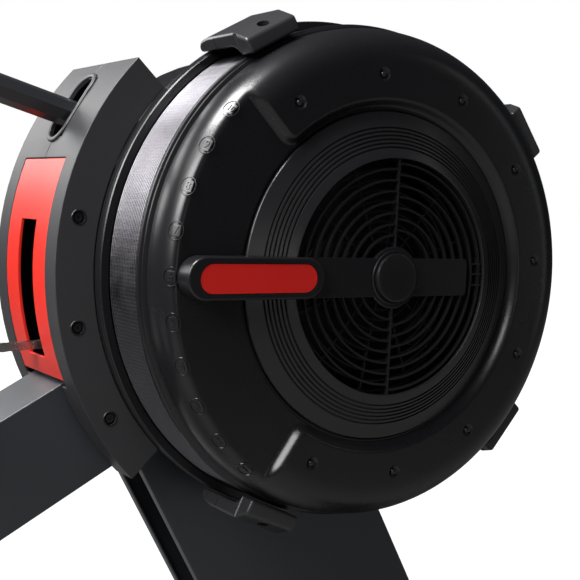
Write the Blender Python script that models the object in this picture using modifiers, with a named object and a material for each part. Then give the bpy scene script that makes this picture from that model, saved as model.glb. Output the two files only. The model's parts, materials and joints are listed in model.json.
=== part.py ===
"""A rowing machine: fan drum with damper, Λ frame, monorail, seat, handle, footrests and monitor. Metres, +Z up, +X forward."""

import math

import bmesh
import bpy
from mathutils import Matrix, Vector

# Driving dimensions. The drum's axle is the datum, and "rel" values are measured from it.
AXLE_X, AXLE_Z = 0.910, 0.560
DRUM_R = 0.240
COVER_FACE, COVER_LIP, BAND_BACK = 0.198, 0.1459, 0.0846  # distances towards the rower's right of the mid-plane
DISC_R = 0.1565
DISC_FACE = 0.1915
VENT_FACE = 0.2035
SHROUD_R, SHROUD_IN_R, SHROUD_HALF = 0.288, 0.250, 0.078
BARREL_R = 0.226
SIDE_FACE = 0.100
LEVER_TILT = math.radians(5)  # the lever points at 6, half a step above the middle of the scale
LEVER_TOP = 0.212
LEAN = 0.447  # how far the front leg leans back for each metre up
LEG_DEPTH = 0.249
BEAM_RISE = 0.4348  # how far the main beam rises for each metre forward
BEAM_TALL = 0.1095  # measured upright
BEAM_END = -0.600
HALF_WIDTH = 0.040  # of the leg, the beam and the rail
SHEET = 0.003
FOOT_TOP = 0.054
FOOT_HALF = 0.2965
SHOE_HALF = 0.300
RAIL_TOP, RAIL_TALL = 0.335, 0.100
RAIL_FRONT, RAIL_REAR = -0.603, -2.070
CHAIN_RISE = -0.0349  # the chain climbs towards the rower at two degrees
CHAIN_AT_SLOT = (-0.282, -0.056)
HANDLE_X = -0.440
STAGE_FRONT, STAGE_TAIL = -0.262, 0.200
SEAT_X = -1.250
ROLLER_R, ROLLER_GAP = 0.020, 0.0003
FOOT_TILT = math.radians(48)
TOE = Vector((-0.530, 0, -0.105))
ARM_PIVOT = (-0.188, 0.149)
MONITOR_PIVOT = (-0.640, 0.352)
MONITOR_TILT = math.radians(20)
TURNS = 64

X, Y, Z = Vector((1, 0, 0)), Vector((0, 1, 0)), Vector((0, 0, 1))


def clear_scene():
    for obj in list(bpy.data.objects):
        bpy.data.objects.remove(obj, do_unlink=True)


def new_collection(name, is_helper=False):
    made = bpy.data.collections.new(name)
    made.hide_render = is_helper
    bpy.context.scene.collection.children.link(made)
    return made


clear_scene()
parts = new_collection("rowing_machine")
cutters = new_collection("cutters", is_helper=True)


def finish(name, colour, roughness, metallic=0.0):
    made = bpy.data.materials.new(name)
    made.use_nodes = True
    shader = made.node_tree.nodes["Principled BSDF"]
    shader.inputs["Base Color"].default_value = (*colour, 1)
    shader.inputs["Roughness"].default_value = roughness
    shader.inputs["Metallic"].default_value = metallic
    return made


frame_paint = finish("frame_paint", (0.020, 0.022, 0.026), 0.45, 0.3)
black_plastic = finish("black_plastic", (0.012, 0.012, 0.013), 0.35)
shroud_plastic = finish("shroud_plastic", (0.030, 0.031, 0.033), 0.55)
red_plastic = finish("red_plastic", (0.75, 0.035, 0.025), 0.45)
mesh_steel = finish("mesh_steel", (0.42, 0.41, 0.44), 0.35, 0.9)
bright_steel = finish("bright_steel", (0.60, 0.60, 0.60), 0.25, 1.0)
rail_aluminium = finish("rail_aluminium", (0.62, 0.63, 0.64), 0.3, 1.0)
rubber = finish("rubber", (0.015, 0.015, 0.015), 0.8)
seat_skin = finish("seat_skin", (0.018, 0.018, 0.019), 0.6)
strap_webbing = finish("strap_webbing", (0.025, 0.025, 0.027), 0.85)
screen_glass = finish("screen_glass", (0.02, 0.03, 0.03), 0.1)


def at(x_rel, z_rel, y=0.0):
    """A world point from one given by the axle."""
    return Vector((AXLE_X + x_rel, y, AXLE_Z + z_rel))


def axes(origin, x_axis, y_axis):
    """The matrix of a local frame: its third axis is the cross product of the two given."""
    x_axis, y_axis = x_axis.normalized(), y_axis.normalized()
    columns = [x_axis, y_axis, x_axis.cross(y_axis)]
    return Matrix.Translation(origin) @ Matrix(columns).transposed().to_4x4()


def add(name, data, material=None, matrix=None, helper=False):
    obj = bpy.data.objects.new(name, data)
    (cutters if helper else parts).objects.link(obj)
    if matrix is not None:
        obj.matrix_world = matrix
    if material is not None:
        data.materials.append(material)
    if helper:
        obj.hide_render = True
        obj.display_type = "WIRE"
    return obj


def from_bmesh(name, bm, material=None, matrix=None, helper=False):
    data = bpy.data.meshes.new(name)
    bm.to_mesh(data)
    bm.free()
    return add(name, data, material, matrix, helper)


def box(name, low, high, material=None, bevel=0.0, matrix=None, helper=False):
    """A box between two corners, in world axes or in those of the matrix."""
    low, high = Vector(low), Vector(high)
    middle = (low + high) / 2
    bm = bmesh.new()
    bmesh.ops.create_cube(bm, size=1)
    bmesh.ops.scale(bm, vec=high - low, verts=bm.verts)
    place = (matrix or Matrix()) @ Matrix.Translation(middle)
    obj = from_bmesh(name, bm, material, place, helper)
    if bevel:
        round_edges(obj, bevel)
    return obj


def round_edges(obj, width, segments=2):
    bevel = obj.modifiers.new("Bevel", "BEVEL")
    bevel.width = width
    bevel.segments = segments
    bevel.limit_method = "ANGLE"


def facing(origin, direction):
    """The matrix of a frame at the origin given, with its third axis along the direction."""
    return Matrix.Translation(origin) @ direction.to_track_quat("Z", "Y").to_matrix().to_4x4()


def rod(name, start, end, radius, material=None, sides=24, helper=False):
    """A round bar between two points."""
    start, end = Vector(start), Vector(end)
    along = end - start
    bm = bmesh.new()
    bmesh.ops.create_cone(
        bm, cap_ends=True, cap_tris=False, segments=sides, radius1=radius, radius2=radius, depth=along.length
    )
    return from_bmesh(name, bm, material, facing((start + end) / 2, along), helper)


def turned(name, profile, material, origin, direction, turns=TURNS):
    """A Screw of a profile of (radius, height) points; the height runs along the direction given."""
    data = bpy.data.meshes.new(name)
    after = profile[1:] + profile[:1]
    if sum(a[0] * b[1] - b[0] * a[1] for a, b in zip(profile, after)) > 0:
        profile = profile[::-1]  # the Screw faces outwards when the profile's outer side runs down
    points = [(radius, 0, height) for radius, height in profile]
    on_axis = profile[0][0] == 0 and profile[-1][0] == 0
    count = len(points)
    edges = [(i, i + 1) for i in range(count - 1)] + ([] if on_axis else [(count - 1, 0)])
    data.from_pydata(points, edges, [])
    obj = add(name, data, material, facing(origin, direction))
    screw = obj.modifiers.new("Screw", "SCREW")
    screw.steps = screw.render_steps = turns
    screw.use_merge_vertices = True
    screw.merge_threshold = 0.00005
    return obj


def plate(name, loops, low, high, matrix, material=None, helper=False):
    """Flat outlines in the matrix's x and y, filled and extruded from low to high along its z, as a welded mesh."""
    data = bpy.data.curves.new(name, "CURVE")
    data.dimensions = "2D"
    data.fill_mode = "BOTH"
    data.extrude = (high - low) / 2
    for loop in loops:
        spline = data.splines.new("POLY")
        spline.points.add(len(loop) - 1)
        spline.use_cyclic_u = True
        for point, (x, y) in zip(spline.points, loop):
            point.co = (x, y, 0, 1)
    place = matrix @ Matrix.Translation((0, 0, (low + high) / 2))
    return as_mesh(add(name, data, material, place, helper))


def tube(name, route, radius, material, sides_level=2):
    """A round tube with capped ends along a list of world points, as a welded mesh."""
    data = bpy.data.curves.new(name, "CURVE")
    data.dimensions = "3D"
    data.bevel_depth = radius
    data.bevel_resolution = sides_level
    data.use_fill_caps = True
    spline = data.splines.new("POLY")
    spline.points.add(len(route) - 1)
    for point, place in zip(spline.points, route):
        point.co = (*place, 1)
    return as_mesh(add(name, data, material))


def as_mesh(curve):
    """The curve's evaluated shape as a mesh object with its caps welded; the curve is removed."""
    bpy.context.view_layer.update()
    graph = bpy.context.evaluated_depsgraph_get()
    data = bpy.data.meshes.new_from_object(curve.evaluated_get(graph))
    name, place = curve.name, curve.matrix_world.copy()
    helper = curve.name in cutters.objects
    bpy.data.objects.remove(curve)
    bm = bmesh.new()
    bm.from_mesh(data)
    bmesh.ops.remove_doubles(bm, verts=bm.verts, dist=0.00001)
    bmesh.ops.recalc_face_normals(bm, faces=bm.faces)
    bm.to_mesh(data)
    bm.free()
    data.name = name
    return add(name, data, None, place, helper)


def boolean(obj, other, operation="DIFFERENCE"):
    """Cuts or joins; the other object becomes a hidden helper."""
    if other.name in parts.objects:
        parts.objects.unlink(other)
        cutters.objects.link(other)
        other.hide_render = True
        other.display_type = "WIRE"
    step = obj.modifiers.new(operation.title(), "BOOLEAN")
    step.operation = operation
    step.solver = "EXACT"
    step.object = other


def pivot(name, place, *objects):
    """An empty on a joint's axis, with the pieces that move about it as its children."""
    empty = bpy.data.objects.new(name, None)
    empty.location = place
    empty.empty_display_size = 0.03
    parts.objects.link(empty)
    for obj in objects:
        obj.parent = empty
        obj.matrix_parent_inverse = Matrix.Translation(-Vector(place))
    return empty


def arc(radius, start, end, steps, centre=(0.0, 0.0)):
    """Points of an arc, with its angles in degrees from the local x axis."""
    turn = [math.radians(start + (end - start) * i / steps) for i in range(steps + 1)]
    return [(centre[0] + radius * math.cos(a), centre[1] + radius * math.sin(a)) for a in turn]


def ring_sector(inner, outer, start, end, steps):
    return arc(outer, start, end, steps) + arc(inner, end, start, steps)


def rounded_hull(circles, steps=16):
    """The convex outline around circles of (x, y, radius)."""
    points = sorted({p for x, y, r in circles for p in arc(r, 0, 360, steps, (x, y))[:-1]})

    def chain(ordered):
        kept = []
        for p in ordered:
            while len(kept) > 1 and turn_of(kept[-2], kept[-1], p) <= 1e-12:
                kept.pop()
            kept.append(p)
        return kept[:-1]

    return chain(points) + chain(points[::-1])


def turn_of(a, b, c):
    return (b[0] - a[0]) * (c[1] - a[1]) - (b[1] - a[1]) * (c[0] - a[0])


def rectangle(low_x, low_y, high_x, high_y):
    return [(low_x, low_y), (high_x, low_y), (high_x, high_y), (low_x, high_y)]


RIGHT = -Y


def side_plate(name, loops, low, high, material=None, helper=False):
    """Outlines in side view, extruded between two distances towards the rower's right of the mid-plane.

    Their x runs back from the axle to the rower, so that angles run up from the rower's side of the drum.
    """
    return plate(name, loops, -high, -low, axes(at(0, 0), -X, Z), material, helper)


# Frame ---------------------------------------------------------------------------------------------


def leg_rear(z_rel):
    """The front leg's rear edge at a height, forward of the axle."""
    return -0.148 - LEAN * (z_rel + 0.292)


def beam_top(x_rel):
    return 0.0289 + BEAM_RISE * x_rel


def front_leg():
    """A lipped channel that is open towards the rower, leaning back from the foot to the axle plates."""
    lip = 0.012
    half, inside = HALF_WIDTH, HALF_WIDTH - SHEET
    near = [(0, -half), (LEG_DEPTH, -half), (LEG_DEPTH, half), (0, half), (0, half - lip), (SHEET, half - lip)]
    far = [(SHEET, inside), (LEG_DEPTH - SHEET, inside), (LEG_DEPTH - SHEET, -inside), (SHEET, -inside)]
    section = near + far + [(SHEET, lip - half), (0, lip - half)]
    low = FOOT_TOP + 0.0003
    high = AXLE_Z - 0.088
    foot = Vector((AXLE_X + leg_rear(low - AXLE_Z), 0, low))
    leg = plate("front_leg", [section], 0, high - low, axes(foot, X, Y), frame_paint)
    lean_back(leg, high - low)
    return leg


def lean_back(obj, height):
    for vertex in obj.data.vertices:
        vertex.co.x -= LEAN * (vertex.co.z + height / 2)


def beam_outline(grow=0.0):
    """The beam's side view; the front end follows the leg's rear edge."""
    outline = []
    for drop, out in ((-grow, 0), (BEAM_TALL + grow, 0)):
        lift = 0.0289 - drop
        x = (-0.148 - LEAN * (lift + 0.292)) / (1 + LEAN * BEAM_RISE) - 0.0004 + out
        outline.append((-x, lift + BEAM_RISE * x))
    end = -BEAM_END
    bottom = beam_top(BEAM_END) - BEAM_TALL - grow
    return [outline[0], outline[1], (end, bottom), (end, beam_top(BEAM_END) + grow)][::-1]


def main_beam():
    beam = side_plate("main_beam", [beam_outline()], -HALF_WIDTH, HALF_WIDTH, frame_paint)
    start, end = -0.05, 0.75
    top = [(start, beam_top(-start) - SHEET), (end, beam_top(-end) - SHEET)]
    low = [(x, z - BEAM_TALL + 2 * SHEET) for x, z in reversed(top)]
    inside = HALF_WIDTH - SHEET
    hollow = side_plate("beam_hollow", [(top + low)[::-1]], -inside, inside, helper=True)
    boolean(beam, hollow)
    return beam


def axle_plate(side):
    """The plate on one flank of the leg that carries the axle's bearing."""
    outline = rounded_hull([(0, 0, 0.042), (0.150, -0.125, 0.016), (0.095, -0.180, 0.016), (-0.005, -0.150, 0.020)])
    near, far = HALF_WIDTH + 0.0005, HALF_WIDTH + 0.0055
    bearing_hole = arc(0.0108, 0, 360, 24)[:-1]
    name = "axle_plate_right" if side > 0 else "axle_plate_left"
    low, high = (near, far) if side > 0 else (-far, -near)
    return side_plate(name, [outline, bearing_hole], low, high, frame_paint)


def foot_tube(name, x_rel, depth, half):
    """A rectangular cross tube, open at its ends under the shoes."""
    low = 0.004
    section = [
        rectangle(-depth / 2, low, depth / 2, FOOT_TOP),
        rectangle(SHEET - depth / 2, low + SHEET, depth / 2 - SHEET, FOOT_TOP - SHEET)[::-1],
    ]
    place = axes(Vector((AXLE_X + x_rel, 0, 0)), X, Z)
    return plate(name, section, -half, half, place, frame_paint)


def foot_shoe(name, x_rel, depth, side, tube_half):
    """A rubber shoe over the end of a cross tube; it is what stands on the floor."""
    x = AXLE_X + x_rel
    half = depth / 2 + 0.004
    inner, outer = tube_half - 0.055, tube_half + 0.0035
    ends = sorted((side * inner, side * outer))
    shoe = box(name, (x - half, ends[0], 0), (x + half, ends[1], FOOT_TOP + 0.004), rubber)
    gap = 0.0003
    hollow = sorted((side * (inner - 0.01), side * (tube_half + gap)))
    boolean(
        shoe,
        box(
            name + "_hollow",
            (x - depth / 2 - gap, hollow[0], 0.004 - gap),
            (x + depth / 2 + gap, hollow[1], FOOT_TOP + gap),
            helper=True,
        ),
    )
    return shoe


FRONT_FOOT_X, FRONT_FOOT_DEPTH = 0.074, 0.100
REAR_FOOT_X, REAR_FOOT_DEPTH, REAR_FOOT_HALF = -1.960, 0.060, 0.2465
WHEEL = at(0.158, 0.043 - AXLE_Z)
WHEEL_Y, WHEEL_R = 0.204, 0.030


def front_foot():
    foot = foot_tube("front_foot", FRONT_FOOT_X, FRONT_FOOT_DEPTH, FOOT_HALF)
    face = AXLE_X + FRONT_FOOT_X + FRONT_FOOT_DEPTH / 2
    for side in (-1, 1):
        ear = sorted((side * 0.182, side * 0.188))
        arm = box("wheel_arm", (face - 0.002, ear[0], 0.020), (WHEEL.x + 0.010, ear[1], 0.053))
        boolean(foot, arm, "UNION")
        pin = rod("wheel_pin", WHEEL + Y * side * 0.184, WHEEL + Y * side * 0.222, 0.0045, sides=16)
        boolean(foot, pin, "UNION")
    return foot


def transport_wheel(side):
    name = "transport_wheel_right" if side > 0 else "transport_wheel_left"
    half = 0.011
    profile = [(0.005, half), (0.020, half), (WHEEL_R, half - 0.004), (WHEEL_R, 0.004 - half), (0.020, -half), (0.005, -half)]
    wheel = turned(name, profile, rubber, WHEEL + RIGHT * side * WHEEL_Y, Y, turns=32)
    return wheel


def rail():
    """An aluminium extrusion with a running flange on top and a groove along each side."""
    half, web, low = HALF_WIDTH, 0.026, RAIL_TOP - RAIL_TALL
    flange, foot = RAIL_TOP - 0.020, low + 0.020
    right = [(half, low), (half, foot), (web, foot + 0.006), (web, flange - 0.006), (half, flange), (half, RAIL_TOP)]
    left = [(-y, z) for y, z in reversed(right)]
    wall = 0.004
    hollow = [(y, z) for y, z in rectangle(wall - web, low + wall, web - wall, RAIL_TOP - wall)]
    place = axes(Vector((AXLE_X, 0, 0)), Y, Z)
    return plate("rail", [right + left, hollow[::-1]], RAIL_REAR, RAIL_FRONT, place, rail_aluminium)


def rail_stop(name, low, high):
    """A rubber block on the running flange that the carriage meets at the end of its travel."""
    x_low, x_high = AXLE_X + low, AXLE_X + high
    base = RAIL_TOP + 0.0003
    return box(name, (x_low, -0.020, base), (x_high, 0.020, base + 0.032), rubber, bevel=0.004)


def rear_leg():
    low, high = FOOT_TOP + 0.0003, RAIL_TOP - RAIL_TALL - 0.0003
    half_x, half_y = 0.030, 0.030
    section = [
        rectangle(-half_x, -half_y, half_x, half_y),
        rectangle(SHEET - half_x, SHEET - half_y, half_x - SHEET, half_y - SHEET)[::-1],
    ]
    place = axes(Vector((AXLE_X + REAR_FOOT_X, 0, 0)), X, Y)
    return plate("rear_leg", section, low, high, place, frame_paint)


def joint_bracket():
    """A U-shaped saddle that bolts the beam's end to the rail's front end."""
    inside, outside = HALF_WIDTH + 0.0005, HALF_WIDTH + 0.0055
    end_low = beam_top(BEAM_END) - BEAM_TALL
    floor = RAIL_TOP - RAIL_TALL - AXLE_Z - 0.020
    outline = rounded_hull([(0.500, -0.235, 0.030), (0.700, -0.265, 0.030), (0.700, floor + 0.012, 0.012), (0.585, floor + 0.012, 0.012)])
    saddle = side_plate("joint_bracket", [outline], -outside, outside, frame_paint)
    lead = [(0.40, floor + 0.30), (0.40, end_low + 0.0861), (0.60, end_low - 0.0008), (0.61, floor + 0.0195), (0.76, floor + 0.0195), (0.76, floor + 0.30)]
    boolean(saddle, side_plate("saddle_hollow", [lead], -inside, inside, helper=True))
    return saddle


# Footrests -----------------------------------------------------------------------------------------

FOOT_UP = Vector((math.cos(FOOT_TILT), 0, math.sin(FOOT_TILT)))
FOOT_OUT = Vector((-math.sin(FOOT_TILT), 0, math.cos(FOOT_TILT)))
FOOT_Y, FOOT_WIDE, FOOT_LONG, FOOT_THICK = 0.130, 0.120, 0.285, 0.006
HEEL_LONG, HEEL_AT = 0.090, 0.200


def foot_frame(side):
    """A footrest's frame: x down the plate from the toe, y out of its face towards the rower, z across."""
    centre = at(TOE.x, TOE.z) + RIGHT * side * FOOT_Y
    return axes(centre, -FOOT_UP, FOOT_OUT)


def foot_plate(side):
    name = "foot_plate_right" if side > 0 else "foot_plate_left"
    half = FOOT_WIDE / 2
    across = axes(at(TOE.x, TOE.z) + RIGHT * side * FOOT_Y, -FOOT_UP, RIGHT * side)
    outline = rounded_hull([(0.040, y, 0.030) for y in (-half + 0.030, half - 0.030)] + [(FOOT_LONG - 0.02, y, 0.015) for y in (-half + 0.015, half - 0.015)])
    facing = 1 if across.col[2].to_3d().dot(FOOT_OUT) > 0 else -1
    low, high = sorted((0, -facing * FOOT_THICK))
    board = plate(name, [outline], low, high, across, black_plastic)
    back = foot_frame(side)
    ends = sorted((side * 0.052, side * 0.0838))
    arm = box("foot_arm", (0.110, -0.045, ends[0]), (0.200, -0.003, ends[1]), matrix=back)
    boolean(board, arm, "UNION")
    return board


def heel_cup(side):
    """The heel piece, which slides along the plate to suit the foot's length."""
    name = "heel_cup_right" if side > 0 else "heel_cup_left"
    base, wall = 0.0004, 0.005
    end = HEEL_AT + HEEL_LONG / 2
    outline = [
        (HEEL_AT - HEEL_LONG / 2, base),
        (end, base),
        (end + 0.008, 0.050),
        (end + 0.003, 0.050),
        (end - 0.006, base + wall),
        (HEEL_AT - HEEL_LONG / 2, base + wall),
    ]
    return plate(name, [outline], -0.042, 0.042, foot_frame(side), black_plastic)


def foot_strap(side):
    """The strap's plain solid: an arch over the foot, from one edge of the plate to the other."""
    name = "foot_strap_right" if side > 0 else "foot_strap_left"
    place = axes(at(TOE.x, TOE.z) + RIGHT * side * FOOT_Y - FOOT_UP * 0.100, Y, FOOT_OUT)
    steps = 14
    wide, tall, thick = 0.054, 0.075, 0.004

    def arch(shrink):
        turn = [math.pi * i / steps for i in range(steps + 1)]
        return [((wide - shrink) * math.cos(a), 0.001 + (tall - shrink) * math.sin(a) ** 0.8) for a in turn]

    return plate(name, [arch(0) + arch(thick)[::-1]], -0.019, 0.019, place, strap_webbing)


# Housing -------------------------------------------------------------------------------------------


def barrel():
    """The round housing between the fan drum and the left side cover, open where the guard covers it."""
    shell = side_plate("barrel", [ring_sector(BARREL_R - SHEET, BARREL_R, 30, 323, 56)], -0.086, SHROUD_HALF, black_plastic)
    room = HALF_WIDTH + 0.001
    low, high = at(-0.262, -0.250, -room), at(0.085, -0.020, room)
    boolean(shell, box("leg_way", low, high, helper=True))
    return shell


def side_cover():
    outer = [(0, SIDE_FACE), (0.200, SIDE_FACE), (0.219, SIDE_FACE - 0.004), (BARREL_R, SIDE_FACE - 0.011), (BARREL_R, 0.0863)]
    inner = [(BARREL_R - 0.003, 0.0863), (0.2165, SIDE_FACE - 0.007), (0.199, SIDE_FACE - 0.003), (0, SIDE_FACE - 0.003)]
    return turned("side_cover", outer + inner, black_plastic, at(0, 0), Y)


GUARD_TOP, GUARD_BOTTOM = 47.8, -39.6
PANEL_TOP, PANEL_BOTTOM, PANEL_HALF = 25.3, -17.2, 0.0515
SLOT_TOP, SLOT_BOTTOM, SLOT_HALF = 43.5, 30.0, 0.019


def guard_half(side):
    """Half of the curved guard on the rower's side of the drum; the halves meet at the mid-plane."""
    name = "guard_right" if side > 0 else "guard_left"
    seam, face = 0.00015, SHROUD_HALF
    low, high = (seam, face) if side > 0 else (-face, -seam)
    guard = side_plate(name, [ring_sector(SHROUD_IN_R, SHROUD_R, GUARD_BOTTOM, GUARD_TOP, 28)], low, high, shroud_plastic)
    low, high = (-0.01, face - SHEET) if side > 0 else (SHEET - face, 0.01)
    wall = 0.7
    room = ring_sector(SHROUD_IN_R - 0.01, SHROUD_R - SHEET, GUARD_BOTTOM + wall, GUARD_TOP - wall, 28)
    boolean(guard, side_plate(name + "_room", [room], low, high, helper=True))
    half = PANEL_HALF + 0.0004
    window = ring_sector(0.275, 0.300, PANEL_BOTTOM - 1.4, PANEL_TOP + 0.1, 14)
    boolean(guard, side_plate(name + "_window", [window], -half, half, helper=True))
    slot = ring_sector(0.275, 0.300, SLOT_BOTTOM, SLOT_TOP, 6)
    boolean(guard, side_plate(name + "_slot", [slot], -SLOT_HALF, SLOT_HALF, helper=True))
    half = HALF_WIDTH + 0.0012
    boolean(guard, side_plate(name + "_beam_way", [beam_outline(0.0015)], -half, half, helper=True))
    corner = [(0.18, -0.20), (0.262, -0.20), (0.262, -0.10), (0.18, -0.10)]
    boolean(guard, side_plate(name + "_leg_way", [corner], -half, half, helper=True))
    return guard


def chain_panel():
    """The coloured panel between the guard's halves, with the slot that the chain runs out of."""
    outline = ring_sector(0.2842, 0.2874, PANEL_BOTTOM, PANEL_TOP, 14)
    panel = side_plate("chain_panel", [outline], -PANEL_HALF, PANEL_HALF, red_plastic)
    boolean(panel, box("chain_slot", at(-0.32, -0.066, -0.020), at(-0.24, 0.066, 0.020), helper=True))
    return panel


# Drum ----------------------------------------------------------------------------------------------


def cage_back():
    profile = [(0.250, 0.0785), (0.250, 0.0895), (0.2485, 0.0912), (0.2412, 0.0912), (0.2412, 0.0835), (0.030, 0.0835), (0.030, 0.0785)]
    return turned("cage_back", profile, black_plastic, at(0, 0), RIGHT)


def mesh_band():
    inner = DRUM_R - 0.0015
    profile = [(inner, BAND_BACK - 0.0008), (inner, COVER_LIP - 0.0004), (DRUM_R, COVER_LIP - 0.0004), (DRUM_R, BAND_BACK - 0.0008)]
    return turned("mesh_band", profile, mesh_steel, at(0, 0), RIGHT)


def front_cover():
    """The drum's dished cover, with the round seat of the damper disc and the shallow bay that the lever sweeps."""
    crown = 0.200
    turn = [math.radians(90 - 15 * i) for i in range(7)]
    shoulder = [(crown + 0.0355 * math.cos(a) ** 0.83, 0.158 + 0.040 * math.sin(a) ** 0.83) for a in turn]
    inside = [(crown + (x - crown) * 0.91, 0.158 + (z - 0.158) * 0.70) for x, z in reversed(shoulder)]
    rim = [(0.1575, 0.1862), (0.1575, 0.1890), (0.1600, 0.1890), (0.1720, COVER_FACE)]
    lip = [(0.2405, 0.1535), (0.2405, COVER_LIP), (0.2340, COVER_LIP)]
    cover = turned("front_cover", rim + shoulder + lip + inside, black_plastic, at(0, 0), RIGHT)
    bay = side_plate("lever_bay", [ring_sector(0.150, 0.262, -52.5, 52.5, 20)], 0.1902, 0.215, helper=True)
    boolean(cover, bay)
    return cover


def vent_grille():
    """The fixed plate behind the damper disc, with six vent windows round its hub."""
    loops = [arc(0.165, 0, 360, TURNS)[:-1], arc(0.010, 0, 360, 24)[::-1][:-1]]
    for i in range(6):
        loops.append(ring_sector(0.034, 0.103, i * 60 + 34, i * 60 + 86, 8)[::-1])
    return side_plate("vent_grille", loops, 0.1815, 0.1856, black_plastic)


def damper_disc():
    """The disc that opens and closes the vents: a shallow cone with a flat windowed middle."""
    face = [(DISC_R, 0.1875), (DISC_R, DISC_FACE), (0.1120, VENT_FACE), (0.0060, VENT_FACE)]
    back = [(0.0060, VENT_FACE - 0.0035), (0.1090, VENT_FACE - 0.0035), (0.1520, 0.1875)]
    disc = turned("damper_disc", face + back, black_plastic, at(0, 0), RIGHT)
    for i in range(6):
        window = ring_sector(0.034, 0.103, i * 60 + 4, i * 60 + 56, 8)
        boolean(disc, side_plate(f"damper_window_{i}", [window], 0.180, 0.215, helper=True))
    return disc


def damper_lever():
    """The lever across the disc: a thin bar, a thicker grip that ends over the cover's bay, and a hub."""
    cos, sin = math.cos(LEVER_TILT), math.sin(LEVER_TILT)
    low = VENT_FACE + 0.0003
    bar = rounded_hull([(0.205 * cos, 0.205 * sin, 0.0190), (-0.086 * cos, -0.086 * sin, 0.0185)], 24)
    grip = rounded_hull([(0.205 * cos, 0.205 * sin, 0.0190), (0.1070 * cos, 0.1070 * sin, 0.0187)], 24)
    tip = rounded_hull([(0.205 * cos, 0.205 * sin, 0.0190), (0.1785 * cos, 0.1785 * sin, 0.0189)], 24)
    lever = side_plate("damper_lever", [bar], low, low + 0.0015, black_plastic)
    boolean(lever, side_plate("lever_grip", [grip], low, LEVER_TOP, helper=True), "UNION")
    boolean(lever, side_plate("lever_tip", [tip], DISC_FACE + 0.0007, LEVER_TOP, helper=True), "UNION")
    hub = side_plate("lever_hub", [arc(0.0235, 0, 360, 32)[:-1]], low, 0.2072, helper=True)
    boolean(lever, hub, "UNION")
    return lever


CLIP_ANGLES = {"cover_clip_top": 66, "cover_clip_bottom": -61, "cover_clip_front_top": 148, "cover_clip_front_bottom": -134}


def cover_clip(name, angle):
    """A bracket that holds the cover to the cage across the mesh band."""
    turn = math.radians(angle)
    outward = -X * math.cos(turn) + Z * math.sin(turn)
    outline = [
        (0.2505, 0.0795),
        (0.2620, 0.0795),
        (0.2640, 0.1500),
        (0.2560, 0.1680),
        (0.2415, 0.1680),
        (0.2415, 0.0920),
        (0.2505, 0.0920),
    ]
    return plate(name, [outline[::-1]], -0.029, 0.029, axes(at(0, 0), outward, RIGHT), black_plastic)


def fan_rotor():
    """The fan wheel: a back plate, a hub and radial blades."""
    profile = [(0.0103, 0.092), (0.0103, 0.165), (0.030, 0.165), (0.030, 0.096), (0.215, 0.096), (0.215, 0.092)]
    wheel = turned("fan_rotor", profile, bright_steel, at(0, 0), RIGHT, turns=48)
    bm = bmesh.new()
    count = 16
    for i in range(count):
        shape = Matrix.Rotation(2 * math.pi * i / count, 4, "Z") @ Matrix.Translation((0.170, 0, 0.130))
        made = bmesh.ops.create_cube(bm, size=1)["verts"]
        bmesh.ops.scale(bm, vec=(0.100, 0.003, 0.070), verts=made)
        bmesh.ops.transform(bm, matrix=shape, verts=made)
    blades = from_bmesh("fan_blades", bm, None, facing(at(0, 0), RIGHT), helper=True)
    boolean(wheel, blades, "UNION")
    return wheel


def drive_sprocket():
    teeth = 32
    ring = []
    for i in range(teeth * 2):
        radius = 0.0578 if i % 2 else 0.0545
        turn = math.pi * i / teeth
        ring.append((radius * math.cos(turn), radius * math.sin(turn)))
    bore = arc(0.0103, 0, 360, 24)[:-1]
    return side_plate("drive_sprocket", [ring, bore[::-1]], -0.004, 0.004, bright_steel)


# Chain and handle ----------------------------------------------------------------------------------


def chain_height(x_rel):
    return CHAIN_AT_SLOT[1] + CHAIN_RISE * (x_rel - CHAIN_AT_SLOT[0])


CHAIN_BACK = (Vector((-1, 0, -CHAIN_RISE))).normalized()
CHAIN_UP = CHAIN_BACK.cross(Y) * -1


def chain_box(name, start, end, half_wide, half_tall, material=None, helper=False):
    """A straight run of the chain between two places forward of the axle."""
    place = axes(at(0, chain_height(0)), -CHAIN_BACK, CHAIN_UP)
    stretch = math.hypot(1, CHAIN_RISE)
    low, high = start * stretch, end * stretch
    return box(name, (low, -half_tall, -half_wide), (high, half_tall, half_wide), material, matrix=place, helper=helper)


def chain_lead():
    run = chain_box("chain_lead", HANDLE_X + 0.0105, STAGE_TAIL, 0.0046, 0.0055, bright_steel)
    boolean(run, chain_box("chain_lead_room", STAGE_FRONT, STAGE_TAIL + 0.01, 0.0032, 0.0065, helper=True))
    return run


def chain_mid():
    run = chain_box("chain_mid", STAGE_FRONT + 0.0008, STAGE_TAIL, 0.0028, 0.0050, bright_steel)
    boolean(run, chain_box("chain_mid_room", STAGE_FRONT + 0.004, STAGE_TAIL + 0.01, 0.0017, 0.0065, helper=True))
    return run


def chain_tail():
    return chain_box("chain_tail", STAGE_FRONT + 0.005, STAGE_TAIL, 0.0013, 0.0048, bright_steel)


HANDLE_AT = at(HANDLE_X, -0.056 + CHAIN_RISE * (HANDLE_X + 0.282))
GRIP_BEND = math.radians(8)


def grip_axis(side):
    return Vector((-math.sin(GRIP_BEND), -side * math.cos(GRIP_BEND), 0))


def handle_bar():
    knee = 0.085
    ends = []
    for side in (-1, 1):
        bend = HANDLE_AT + RIGHT * side * knee
        ends.append((bend + grip_axis(side) * 0.166, bend))
    route = [ends[0][0], ends[0][1], ends[1][1], ends[1][0]]
    return tube("handle_bar", route, 0.0095, bright_steel)


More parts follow.
